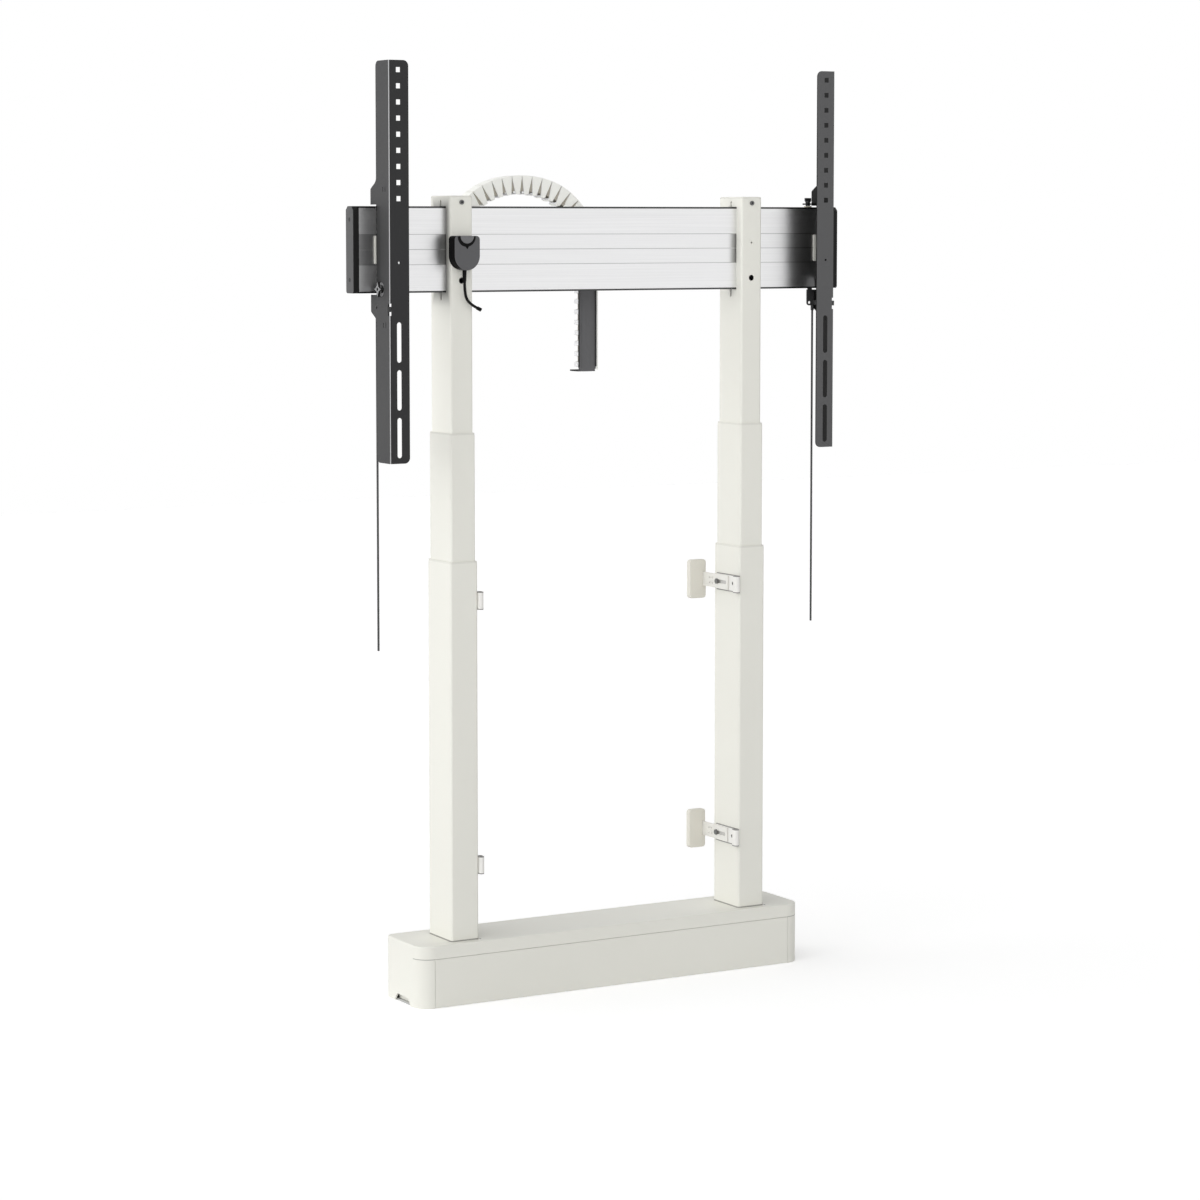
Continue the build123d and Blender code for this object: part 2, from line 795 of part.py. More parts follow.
# Screws of the carriage: cap screws, head screws and the bolts that clamp the bar in the heads.
with BuildPart() as bar_screws:
    for side in sides.values():
        head_x = side * (bar_half + cap_length)
        with BuildSketch(Plane.YZ.offset(head_x)):
            with Locations((bar_mid_y, port_zs[0]), (bar_mid_y, port_zs[1])):
                Circle(cap_head / 2)
        extrude(amount=-side * cap_head_depth)
        with BuildSketch(Plane.YZ.offset(head_x)):
            with Locations((bar_mid_y, port_zs[0]), (bar_mid_y, port_zs[1])):
                Circle(cap_screw / 2)
        extrude(amount=-side * (cap_length + cap_screw_reach))
    column_heads = [(-column_x, bar_top + head_screw_above), (column_x, bar_top + head_screw_above)]
    with BuildSketch(Plane.XZ.offset(inner_depth / 2)):
        with Locations(*column_heads):
            Circle(head_screw_head / 2)
    extrude(amount=head_screw_head_height)
    with BuildSketch(Plane.XZ.offset(inner_depth / 2)):
        with Locations(*column_heads):
            Circle(head_screw / 2)
    extrude(amount=-head_wall - bar_bolt_head)
    bolt_places = [(-column_x, bar_z - bar_bolt_below), (column_x, bar_z - bar_bolt_below)]
    with BuildSketch(Plane.XZ.offset(bar_front)):
        with Locations(*bolt_places):
            Circle(bar_bolt_head / 2)
    extrude(amount=bar_bolt_head_height)
    with BuildSketch(Plane.XZ.offset(bar_front)):
        with Locations(*bolt_places):
            Circle(bar_bolt / 2)
    extrude(amount=-bar_front_wall)
save(bar_screws.part, "bar_screws")

# Cable plate: folded sheet from the bar's rear, down behind the columns, with a shelf for the carrier.
chain_rear = chain_front + chain_width
right_run_x = chain_centre_x + chain_half
left_run_x = chain_centre_x - chain_half
plate_step_z = bar_low + plate_step_below
plate_x = right_run_x - plate_offset
with BuildPart() as cable_plate:
    with BuildSketch(Plane.YZ.offset(plate_x - plate_half)):
        with BuildLine():
            Polyline(
                (bar_rear, plate_step_z),
                (bar_rear, plate_step_z + plate_tab_height),
                (bar_rear + plate_sheet, plate_step_z + plate_tab_height),
                (bar_rear + plate_sheet, plate_step_z + plate_sheet),
                (plate_front + plate_sheet, plate_step_z + plate_sheet),
                (plate_front + plate_sheet, plate_low + plate_sheet),
                (chain_rear, plate_low + plate_sheet),
                (chain_rear, plate_low),
                (plate_front, plate_low),
                (plate_front, plate_step_z),
                close=True,
            )
        make_face()
    extrude(amount=2 * plate_half)
    with BuildSketch(Plane.XZ.offset(-plate_front)):
        fold_low = plate_low + plate_corner
        with Locations(
            (plate_x + plate_fold_sheet / 2 - plate_half, (fold_low + plate_step_z) / 2),
            (plate_x + plate_half - plate_fold_sheet / 2, (fold_low + plate_step_z) / 2),
        ):
            Rectangle(plate_fold_sheet, plate_step_z - fold_low)
    extrude(amount=plate_fold)
    with BuildSketch(Plane.XZ.offset(-plate_front - plate_sheet)) as plate_corners:
        with Locations((plate_x, plate_low + plate_corner / 2)):
            Rectangle(2 * plate_half, plate_corner)
        with BuildSketch(Plane.XZ, mode=Mode.SUBTRACT):
            with Locations((plate_x, plate_low + plate_corner)):
                RectangleRounded(2 * plate_half, 2 * plate_corner, plate_corner - fit_gap)
    extrude(amount=plate_sheet, mode=Mode.SUBTRACT)
save(cable_plate.part, "cable_plate")


def link_outline(half_outer, half_mid, half_inner):
    """Side view of one carrier link: broad outside, pinched inside, along the local X axis."""
    return [
        (-half_outer, chain_height / 2),
        (half_outer, chain_height / 2),
        (half_mid, 0),
        (half_inner, -chain_height / 2),
        (-half_inner, -chain_height / 2),
        (-half_mid, 0),
    ]


def chain_link(half_outer, half_mid, half_inner):
    """One carrier link at the origin: tapered side plates joined by an outer and an inner bar."""
    with BuildPart() as link:
        with BuildSketch(Plane.XZ.offset(-chain_width)):
            with BuildLine():
                Polyline(*link_outline(half_outer, half_mid, half_inner), close=True)
            make_face()
        extrude(amount=chain_width)
        with BuildSketch(Plane.YZ):
            with Locations((chain_width / 2, 0)):
                RectangleRounded(
                    chain_width - 2 * chain_wall, chain_height - 2 * chain_wall, chain_wall
                )
        extrude(amount=half_outer + overrun, both=True, mode=Mode.SUBTRACT)
    return link.part


def arch_place(run):
    """Point and outward direction of the arch's mid line, at a distance from its left spring."""
    turn = math.asin((chain_half - chain_side_radius) / (chain_crown_radius - chain_side_radius))
    side_turn = math.pi / 2 - turn
    side_run = side_turn * chain_side_radius
    crown_run = 2 * turn * chain_crown_radius
    crown_z = chain_spring_z - (chain_crown_radius - chain_side_radius) * math.cos(turn)
    if run < side_run:
        angle = math.pi - run / chain_side_radius
        centre_x, centre_z = chain_side_radius - chain_half, chain_spring_z
        radius = chain_side_radius
    elif run < side_run + crown_run:
        angle = math.pi / 2 + turn - (run - side_run) / chain_crown_radius
        centre_x, centre_z = 0, crown_z
        radius = chain_crown_radius
    else:
        angle = side_turn - (run - side_run - crown_run) / chain_side_radius
        centre_x, centre_z = chain_half - chain_side_radius, chain_spring_z
        radius = chain_side_radius
    return (
        chain_centre_x + centre_x + radius * math.cos(angle),
        centre_z + radius * math.sin(angle),
        angle,
    )


# Arch of the cable carrier: links on a three-centred curve between the two upright runs.
arch_turn = math.asin((chain_half - chain_side_radius) / (chain_crown_radius - chain_side_radius))
arch_length = 2 * (
    (math.pi / 2 - arch_turn) * chain_side_radius + arch_turn * chain_crown_radius
)
arch_pitch = arch_length / chain_links
arch_mid = (arch_pitch - chain_gap) / 2
arch_outer = arch_mid * (1 + chain_height / 2 / chain_crown_radius)
arch_link = chain_link(arch_outer, arch_mid, arch_mid * chain_inner_share)
with BuildPart() as chain_arch:
    for index in range(chain_links):
        link_x, link_z, link_angle = arch_place((index + 1 / 2) * arch_pitch)
        outward = (math.cos(link_angle), 0, math.sin(link_angle))
        along = (math.sin(link_angle), 0, -math.cos(link_angle))
        link_plane = Plane(origin=(link_x, chain_front, link_z), x_dir=along, z_dir=outward)
        with Locations(link_plane.location):
            add(arch_link)
save(chain_arch.part, "chain_arch")

# Upright runs of the carrier: the fixed one behind the left column, the other down to the plate.
left_pitch = (chain_spring_z - chain_floor_z) / left_run_links
right_foot = plate_low + plate_sheet
right_pitch = (chain_spring_z - right_foot) / right_run_links
left_half = (left_pitch - chain_gap) / 2
right_half = (right_pitch - chain_gap) / 2
left_link = chain_link(left_half, left_half, left_half * chain_inner_share)
right_link = chain_link(right_half, right_half, right_half * chain_inner_share)
with BuildPart() as chain_left_run:
    for index in range(left_run_links):
        link_z = chain_floor_z + (index + 1 / 2) * left_pitch
        link_plane = Plane(
            origin=(left_run_x, chain_front, link_z), x_dir=(0, 0, 1), z_dir=(-1, 0, 0)
        )
        with Locations(link_plane.location):
            add(left_link)
save(chain_left_run.part, "chain_left_run")
with BuildPart() as chain_right_run:
    for index in range(right_run_links):
        link_z = right_foot + (index + 1 / 2) * right_pitch
        link_plane = Plane(
            origin=(right_run_x, chain_front, link_z), x_dir=(0, 0, -1), z_dir=(1, 0, 0)
        )
        with Locations(link_plane.location):
            add(right_link)
save(chain_right_run.part, "chain_right_run")

# Anchor of the fixed run: folded bracket on the left outer tube's rear face.
anchor_width = chain_height
with BuildPart() as chain_anchor:
    with BuildSketch(Plane.YZ.offset(left_run_x - anchor_width / 2)):
        with BuildLine():
            Polyline(
                (outer_depth / 2, anchor_low),
                (outer_depth / 2, chain_floor_z),
                (chain_rear, chain_floor_z),
                (chain_rear, chain_floor_z - anchor_sheet),
                (outer_depth / 2 + anchor_sheet, chain_floor_z - anchor_sheet),
                (outer_depth / 2 + anchor_sheet, anchor_low),
                close=True,
            )
        make_face()
    extrude(amount=anchor_width)
save(chain_anchor.part, "chain_anchor")

# Wall brackets: a clip on the tube's inner side, a slotted arm with its wall foot, and the foot's cover.
tube_face_x = column_x - outer_width / 2
clip_in_x = tube_face_x - clip_sheet
arm_out_x = clip_in_x - fit_gap
arm_in_x = arm_out_x - arm_sheet
slot_front = clip_screw_y - arm_slide_out - clip_screw / 2 - fit_gap
slot_rear = clip_screw_y + arm_slide_in + clip_screw / 2 + fit_gap
foot_front = wall_y - arm_sheet
pocket_width = pad_width - 2 * pad_rim
pocket_height = pad_height - 2 * pad_rim
for level_name, bracket_z in zip(("upper", "lower"), bracket_heights):
    with BuildPart() as wall_arm:
        with BuildSketch(Plane.YZ.offset(arm_in_x)):
            arm_front = slot_front - arm_nose
            with Locations(((arm_front + wall_y) / 2, bracket_z)):
                Rectangle(wall_y - arm_front, arm_depth)
            with Locations(((slot_front + slot_rear) / 2, bracket_z)):
                SlotOverall(slot_rear - slot_front, clip_screw + 2 * fit_gap, mode=Mode.SUBTRACT)
            with Locations((small_hole_y, bracket_z)):
                with GridLocations(small_hole_pitch, small_hole_pitch, 2, 2):
                    Circle(small_hole / 2, mode=Mode.SUBTRACT)
        extrude(amount=arm_sheet)
        with BuildSketch(Plane.XZ.offset(-wall_y)):
            with Locations((pad_mid_x, bracket_z)):
                RectangleRounded(
                    pocket_width - 2 * foot_gap_side,
                    pocket_height - 2 * foot_gap_side,
                    pad_corner - pad_rim,
                )
                Circle(wall_hole / 2, mode=Mode.SUBTRACT)
        extrude(amount=arm_sheet)
    save_pair(wall_arm.part, f"{level_name}_arm")

    with BuildPart() as wall_pad:
        with BuildSketch(Plane.XZ.offset(-wall_y)):
            with Locations((pad_mid_x, bracket_z)):
                RectangleRounded(pad_width, pad_height, pad_corner)
        extrude(amount=pad_depth)
        fillet(wall_pad.faces().sort_by(Axis.Y)[0].edges(), pad_edge)
        with BuildSketch(Plane.XZ.offset(-wall_y)):
            with Locations((pad_mid_x, bracket_z)):
                RectangleRounded(pocket_width, pocket_height, pad_corner - pad_rim)
        extrude(amount=pad_depth - pad_front_wall, mode=Mode.SUBTRACT)
        with BuildSketch(Plane.XZ.offset(-wall_y)):
            with Locations(((arm_in_x + arm_out_x) / 2, bracket_z)):
                Rectangle(arm_sheet + 2 * foot_gap_side, arm_depth + 2 * foot_gap_side)
        extrude(amount=pad_depth, mode=Mode.SUBTRACT)
    save_pair(wall_pad.part, f"{level_name}_pad")

with BuildPart() as wall_clips:
    for side in sides.values():
        for bracket_z in bracket_heights:
            with BuildSketch(Plane.YZ.offset(side * clip_in_x)) as clip_plate:
                with Locations(((clip_rear + loop_mid_y) / 2, bracket_z)):
                    Rectangle(clip_rear - loop_mid_y, clip_height)
                chamfer(clip_plate.vertices().group_by(Axis.X)[-1], clip_chamfer)
                with Locations((clip_screw_y, bracket_z)):
                    Circle(clip_screw / 2 + shaft_gap, mode=Mode.SUBTRACT)
            extrude(amount=side * clip_sheet)
            with BuildSketch(Plane.XY.offset(bracket_z - clip_height / 2)):
                with Locations((side * (tube_face_x - loop_reach / 2), loop_mid_y)):
                    SlotOverall(loop_depth, loop_reach, rotation=90)
                    SlotOverall(
                        loop_depth - 2 * loop_wall,
                        loop_reach - 2 * loop_wall,
                        rotation=90,
                        mode=Mode.SUBTRACT,
                    )
            extrude(amount=clip_height)
save(wall_clips.part, "wall_clips")

# Screws of the fixed part: the brackets' clamp screws and the gearboxes' bolts into the frame.
with BuildPart() as root_fasteners:
    for side in sides.values():
        shank_x = side * (tube_face_x - fit_gap)
        head_x = side * (arm_in_x - fit_gap)
        screw_places = [(clip_screw_y, height) for height in bracket_heights]
        with BuildSketch(Plane.YZ.offset(shank_x)):
            with Locations(*screw_places):
                Circle(clip_screw / 2)
        extrude(amount=head_x - shank_x)
        with BuildSketch(Plane.YZ.offset(head_x)):
            with Locations(*screw_places):
                Circle(clip_head / 2)
        extrude(amount=-side * clip_head_height)
    ear_top = frame_sheet + gear_ear_height
    ear_x = column_x + gear_width / 2 + gear_ear / 2
    with BuildSketch(Plane.XY.offset(ear_top)):
        with GridLocations(2 * ear_x, gear_depth - 2 * gear_bolt_inset, 2, 2):
            Circle(gear_bolt_head / 2)
    extrude(amount=gear_bolt)
save(root_fasteners.part, "root_fasteners")

# Display strip: folded steel angle with square holes and slots in front and hook tabs at the bar.
hole_x = fold_x - strip_hole_inset
with BuildPart() as strip:
    with BuildSketch(Plane.XZ.offset(-strip_front_y - strip_sheet)) as strip_front:
        with Locations((fold_x - strip_front_width / 2, (strip_top + strip_low) / 2)):
            Rectangle(strip_front_width, strip_length)
        fillet(strip_front.vertices().group_by(Axis.X)[0], strip_corner)
    extrude(amount=strip_sheet)
    with BuildSketch(Plane.YZ.offset(flange_in_x)):
        hook_up_z = bar_top + hook_top
        hook_low_z = bar_low - hook_low
        with BuildLine():
            FilletPolyline(
                (strip_front_y, strip_low),
                (strip_rear_y, strip_low),
                (strip_rear_y, hook_low_z - hook_blend),
                (hook_rear_y, hook_low_z),
                (hook_rear_y, bar_low - notch_gap),
                (strip_rear_y, bar_low - notch_gap),
                (strip_rear_y, bar_top + notch_gap),
                (hook_rear_y, bar_top + notch_gap),
                (hook_rear_y, hook_up_z),
                (strip_rear_y, hook_up_z + hook_blend),
                (strip_rear_y, strip_top),
                (strip_front_y, strip_top),
                radius=[
                    0,
                    strip_corner,
                    hook_blend,
                    hook_corner,
                    fit_gap,
                    fit_gap,
                    fit_gap,
                    fit_gap,
                    hook_corner,
                    hook_blend,
                    strip_corner,
                    0,
                ],
                close=True,
            )
        make_face()
    extrude(amount=strip_sheet)
    fold_edges = strip.edges().filter_by(Axis.Z).group_by(Axis.X)[-1].group_by(Axis.Y)[0]
    fillet(fold_edges, strip_fold_round)
    with BuildSketch(Plane.XZ.offset(-strip_front_y - strip_sheet)):
        for index in range(square_hole_count):
            hole_z = strip_top - square_hole_first - index * hole_pitch
            with Locations((hole_x, hole_z)):
                Rectangle(square_hole, square_hole)
        for index in range(slot_count):
            slot_z = strip_top - slot_first - index * slot_pitch
            with Locations((hole_x, slot_z)):
                SlotOverall(slot_length, slot_width, rotation=90)
        with Locations((hole_x, (strip_top + strip_low) / 2)):
            Circle(gauge_hole / 2)
    extrude(amount=strip_sheet, mode=Mode.SUBTRACT)
    knob_z = bar_low + knob_above
    with BuildSketch(Plane.YZ.offset(flange_in_x)):
        with Locations((knob_y, knob_z)):
            Circle(knob_hole / 2)
        with Locations((strip_rear_y, bar_low - rivet_below)):
            Circle(latch_rivet / 2)
        slit_pair_mid = strip_front_y + slit_pair_y
        with Locations(
            (slit_pair_mid, bar_top + slit_pair_above),
            (slit_pair_mid, bar_low - slit_pair_below),
        ):
            with GridLocations(slit_pair_spread, 0, 2, 1):
                SlotOverall(slit_pair_height, slit_pair_width, rotation=90)
    extrude(amount=strip_sheet, mode=Mode.SUBTRACT)
    window_z = bar_low - fold_window_low + fold_window_height / 2
    with BuildSketch(Plane.XY.offset(window_z - fold_window_height / 2)):
        with Locations(
            (fold_x - fold_window_width / 2, strip_front_y + fold_window_depth / 2)
        ):
            Rectangle(fold_window_width, fold_window_depth)
    extrude(amount=fold_window_height, mode=Mode.SUBTRACT)
    # Ear that the levelling screw is threaded through.
    ear_z = bar_top + ear_above
    with BuildSketch(Plane.XY.offset(ear_z)):
        with Locations(((ear_in_x + flange_in_x) / 2, rail_y)):
            Rectangle(flange_in_x - ear_in_x, 2 * ear_half_depth)
        with Locations((level_x, rail_y)):
            Circle(level_screw / 2 + shaft_gap, mode=Mode.SUBTRACT)
    extrude(amount=strip_sheet)
save_pair(strip.part, "strip")

# Shoe that slides in the bar's upper rail and carries the levelling screw's tip.
with BuildPart() as hanger_shoe:
    with BuildSketch(Plane.XY.offset(bar_top - rail_top_depth + fit_gap)):
        with Locations((level_x, rail_y)):
            RectangleRounded(
                shoe_length, rail_width - 2 * fit_gap, rail_width / 2 - 2 * fit_gap
            )
    extrude(amount=rail_top_depth + shoe_above - fit_gap)
save_pair(hanger_shoe.part, "hanger_shoe")

# Levelling screw: threaded shank with a T-shaped thumb head.
head_low = ear_z + strip_sheet + level_range + head_gap
with BuildPart() as level_bolt:
    with BuildSketch(Plane.XY.offset(bar_top + shoe_above + fit_gap)):
        with Locations((level_x, rail_y)):
            Circle(level_screw / 2)
    extrude(amount=head_low - bar_top - shoe_above - fit_gap)
    with BuildSketch(Plane.XY.offset(head_low)):
        with Locations((level_x, rail_y)):
            Circle(level_collar / 2)
    extrude(amount=level_collar_height)
    with BuildSketch(Plane.XY.offset(head_low + level_collar_height)):
        with Locations((level_x, rail_y)):
            SlotOverall(level_head_width, level_head_sheet)
    extrude(amount=level_head_height - level_collar_height)
save_pair(level_bolt.part, "level_screw")

# Lock knob: four-pointed star outside the strip, on a disc that bears on the strip's inner face.
with BuildPart() as knob:
    with BuildSketch(Plane.YZ.offset(flange_in_x - fit_gap - knob_disc_sheet)):
        with Locations((knob_y, knob_z)):
            Circle(knob_disc / 2)
    extrude(amount=knob_disc_sheet)
    with BuildSketch(Plane.YZ.offset(flange_in_x - fit_gap)):
        with Locations((knob_y, knob_z)):
            Circle(knob_stem / 2)
    extrude(amount=strip_sheet + fit_gap + knob_lift)
    with BuildSketch(Plane.YZ.offset(fold_x + knob_lift)):
        star_points = []
        for index in range(8):
            reach = knob_waist if index % 2 else knob_tip
            bearing = index * math.pi / 4
            star_points.append(
                (knob_y + reach * math.cos(bearing), knob_z + reach * math.sin(bearing))
            )
        with BuildLine():
            Polyline(*star_points, close=True)
        make_face()
    extrude(amount=knob_sheet)
    with BuildSketch(Plane.YZ.offset(fold_x + knob_lift + knob_sheet - knob_socket_depth)):
        with Locations((knob_y, knob_z)):
            Circle(knob_socket / 2)
    extrude(amount=knob_socket_depth, mode=Mode.SUBTRACT)
save_pair(knob.part, "knob")

# Latch: plate behind the strip with a nose in the bar's lower rail, an arm to the fold and the cord's ferrule.
latch_low_z = bar_low - latch_low
latch_top_z = bar_low - latch_top_gap
latch_out_x = flange_in_x - seat_gap
arm_low_z = latch_low_z + arm_rise
cord_x = latch_out_x - ferrule / 2
with BuildPart() as latch:
    with BuildSketch(Plane.XZ.offset(-rail_y - latch_sheet / 2)) as latch_plate:
        with BuildLine():
            FilletPolyline(
                (latch_plate_in_x, latch_low_z),
                (latch_out_x, latch_low_z),
                (latch_out_x, latch_top_z),
                (latch_plate_in_x + nose_inset + nose_width, latch_top_z),
                (latch_plate_in_x + nose_inset + nose_width, bar_low + nose_bite),
                (latch_plate_in_x + nose_inset, bar_low + nose_bite),
                (latch_plate_in_x + nose_inset, latch_top_z),
                (latch_plate_in_x, latch_top_z),
                radius=[latch_corner, 0, 0, fit_gap, fit_gap, fit_gap, fit_gap, fit_gap],
                close=True,
            )
        make_face()
        with Locations((latch_plate_in_x + latch_corner, latch_low_z + latch_corner)):
            Circle(latch_hole / 2, mode=Mode.SUBTRACT)
    extrude(amount=latch_sheet)
    arm_rear_y = rail_y + latch_sheet / 2
    arm_front_y = strip_front_y + arm_front_gap
    with BuildSketch(Plane.YZ.offset(latch_out_x - latch_sheet)):
        with Locations(((arm_front_y + arm_rear_y) / 2, arm_low_z + arm_height / 2)):
            Rectangle(arm_rear_y - arm_front_y, arm_height)
    extrude(amount=latch_sheet)
    with BuildSketch(Plane.XY.offset(arm_low_z)):
        toe_x = (latch_out_x - latch_sheet + fold_x + strip_sheet) / 2
        with Locations((toe_x, arm_front_y + latch_sheet / 2)):
            Rectangle(fold_x + strip_sheet - latch_out_x + latch_sheet, latch_sheet)
    extrude(amount=arm_height)
    with BuildSketch(Plane.XY.offset(latch_low_z - ferrule_length)):
        with Locations((cord_x, rail_y)):
            Circle(ferrule / 2)
    extrude(amount=ferrule_length)
save_pair(latch.part, "latch")

# Pull cord: hangs straight from the latch's ferrule.
cord_top = latch_low_z - ferrule_length
with BuildPart() as cord:
    with BuildSketch(Plane.XY.offset(cord_top - pull_cord_length)):
        with Locations((cord_x, rail_y)):
            Circle(pull_cord / 2)
    extrude(amount=pull_cord_length)
save_pair(cord.part, "pull_cord")

# Hand control on the left column's head: half-round below, with a pocket for the half-moon key.
hand_x = -column_x + 3 * shaft_gap
hand_rear_y = -inner_depth / 2 - hand_gap
hand_front_y = hand_rear_y - hand_thick
hand_mid_y = (hand_rear_y + hand_front_y) / 2
hand_low = hand_top - hand_height
button_floor_y = hand_front_y + button_thick + button_floor - button_rise
pivot_z = hand_top - button_pivot_below
with BuildPart() as handset_shell:
    with BuildSketch(Plane.XZ.offset(-hand_rear_y)) as hand_outline:
        with Locations((hand_x, hand_low + hand_width / 2)):
            Circle(hand_width / 2)
        straight = hand_height - hand_width / 2
        with Locations((hand_x, hand_top - straight / 2)):
            Rectangle(hand_width, straight)
        fillet(hand_outline.vertices().group_by(Axis.Y)[-1], hand_corner)
    extrude(amount=hand_thick)
    fillet(handset_shell.faces().sort_by(Axis.Y)[0].edges(), hand_edge)
    with BuildSketch(Plane.XZ.offset(-button_floor_y)):
        with Locations((hand_x, hand_top)):
            Circle(button_radius + button_groove)
    extrude(amount=button_floor_y - hand_front_y + overrun, mode=Mode.SUBTRACT)
    with BuildSketch(Plane.YZ.offset(hand_x)):
        with Locations((button_floor_y, pivot_z)):
            Circle(button_pivot / 2 + shaft_gap)
    extrude(amount=button_pivot_length / 2 + fit_gap, both=True, mode=Mode.SUBTRACT)
save(handset_shell.part, "handset_shell")

# Half-moon key: rocks on a round rib in the pocket's floor.
with BuildPart() as handset_button:
    with BuildSketch(Plane.XZ.offset(-button_floor_y + button_floor)):
        with Locations((hand_x, hand_top)):
            Circle(button_radius)
        with Locations((hand_x, hand_top + button_radius / 2)):
            Rectangle(2 * button_radius, button_radius, mode=Mode.SUBTRACT)
    extrude(amount=button_thick)
    with BuildSketch(Plane.YZ.offset(hand_x)):
        with Locations((button_floor_y, pivot_z)):
            Circle(button_pivot / 2)
        with Locations((button_floor_y - button_floor / 2, pivot_z)):
            Rectangle(button_floor, button_pivot / 2)
    extrude(amount=button_pivot_length / 2, both=True)
save(handset_button.part, "handset_button")

# Strain relief, cable stub and plug of the hand control.
gland_low = hand_low - gland_length
with BuildPart() as handset_gland:
    with BuildSketch(Plane.XZ.offset(-hand_mid_y)):
        with BuildLine():
            Polyline(
                (hand_x, hand_low),
                (hand_x + gland_size / 2, hand_low),
                (hand_x + gland_tip / 2, gland_low),
                (hand_x, gland_low),
                close=True,
            )
        make_face()
    revolve(axis=Axis((hand_x, hand_mid_y, 0), (0, 0, 1)))
save(handset_gland.part, "handset_gland")

cable_points = [
    (hand_x, hand_mid_y, gland_low),
    (hand_x, hand_mid_y, gland_low - 21),
    (hand_x + 7.5, hand_mid_y - 1, gland_low - 36),
    (hand_x + 22, hand_mid_y - 1.5, gland_low - 43),
]
cable_vectors = [Vector(*point) for point in cable_points]
cable_radii = []
for before, at, after in zip(cable_vectors, cable_vectors[1:], cable_vectors[2:]):
    shorter = min((at - before).length, (after - at).length)
    half_turn = math.radians((at - before).get_angle(after - at)) / 2
    cable_radii.append(0.45 * shorter / math.tan(half_turn))
print("hand cable radii", [round(radius, 1) for radius in cable_radii])
cable_axis = (cable_vectors[-1] - cable_vectors[-2]).normalized()
with BuildPart() as handset_cable:
    with BuildLine() as cable_path:
        FilletPolyline(*cable_points, radius=cable_radii)
    cable_start = cable_vectors[1] - cable_vectors[0]
    with BuildSketch(Plane(origin=cable_points[0], z_dir=cable_start)):
        Circle(hand_cable / 2)
    sweep()
cable_length = cable_path.wire().length
print("hand cable length", round(cable_length, 1))
cable_section = math.pi * hand_cable**2 / 4
print("hand cable volume share", round(handset_cable.part.volume / (cable_section * cable_length), 4))
save(handset_cable.part, "handset_cable")

with BuildPart() as handset_plug:
    with BuildSketch(Plane(origin=cable_points[-1], z_dir=cable_axis)):
        Circle(plug_size / 2)
    extrude(amount=plug_length)
save(handset_plug.part, "handset_plug")
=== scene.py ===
import bmesh
import bpy
import math
import numpy as np
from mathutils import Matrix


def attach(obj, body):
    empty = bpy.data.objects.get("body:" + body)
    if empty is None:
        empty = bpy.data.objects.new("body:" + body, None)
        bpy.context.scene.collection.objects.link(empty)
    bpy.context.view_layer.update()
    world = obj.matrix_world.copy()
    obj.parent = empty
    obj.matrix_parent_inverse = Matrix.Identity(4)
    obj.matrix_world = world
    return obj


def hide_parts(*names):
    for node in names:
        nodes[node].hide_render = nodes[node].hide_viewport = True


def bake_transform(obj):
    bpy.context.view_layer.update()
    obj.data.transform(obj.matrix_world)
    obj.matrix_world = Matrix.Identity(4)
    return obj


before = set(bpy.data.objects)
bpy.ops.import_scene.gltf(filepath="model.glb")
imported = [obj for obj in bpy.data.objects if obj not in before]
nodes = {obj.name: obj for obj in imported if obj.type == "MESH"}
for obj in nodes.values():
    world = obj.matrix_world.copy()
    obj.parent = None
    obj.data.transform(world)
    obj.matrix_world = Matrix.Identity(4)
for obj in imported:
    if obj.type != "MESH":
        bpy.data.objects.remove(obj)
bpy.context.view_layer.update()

# Studio: a camera to the left of the lift, at the height of its cross bar, a plain pale floor and
# soft daylight. The room is brightest on the left and dims overhead, and a soft sun comes from the
# left front, so the left faces are the lightest, as in the photograph.
white = (1, 1, 1, 1)
room_strength, room_tilt = 1.39, (-0.73, 0.0, -1.05)
floor_grey, floor_glow = 0.86, 0.38
floor_corners = [(-9, -7, 0), (9, -7, 0), (9, 9, 0), (-9, 9, 0)]


def add_object(name, data):
    """New object in the scene, at the origin, with the given mesh, curve, lamp or camera."""
    thing = bpy.data.objects.new(name, data)
    bpy.context.scene.collection.objects.link(thing)
    return thing


def add_node(tree, kind, **settings):
    """New shader node of a kind, with its operation or other settings."""
    node = tree.nodes.new("ShaderNode" + kind)
    for setting, value in settings.items():
        setattr(node, setting, value)
    return node


def join(tree, *pairs):
    """Links each pair's output socket to its input socket."""
    for output, entry in pairs:
        tree.links.new(output, entry)


def seen_directly(tree, *kinds):
    """1 for the named kinds of ray and 0 for others: the highest of their Light Path outputs."""
    ray = add_node(tree, "LightPath")
    shown = ray.outputs[kinds[0]]
    for kind in kinds[1:]:
        higher = add_node(tree, "Math", operation="MAXIMUM")
        join(tree, (shown, higher.inputs[0]), (ray.outputs[kind], higher.inputs[1]))
        shown = higher.outputs[0]
    return shown


camera_data = bpy.data.cameras.new("studio_camera")
camera_data.lens = 101.2
camera_data.sensor_width = 36.0
camera_data.shift_y = -0.08
camera_data.clip_end = 60.0
camera = add_object("studio_camera", camera_data)
camera.location = (-2.7657, -4.8053, 1.2595)
camera.rotation_euler = (math.radians(90 - 4.792), 0, math.radians(-29.932))
bpy.context.scene.camera = camera
bpy.context.scene.view_settings.view_transform = "Standard"

sun_data = bpy.data.lights.new("soft_sun", "SUN")
sun_data.energy = 0.35
sun_data.angle = math.radians(90)
sun = add_object("soft_sun", sun_data)
sun.rotation_euler = (math.radians(56.4), 0, math.radians(-65))

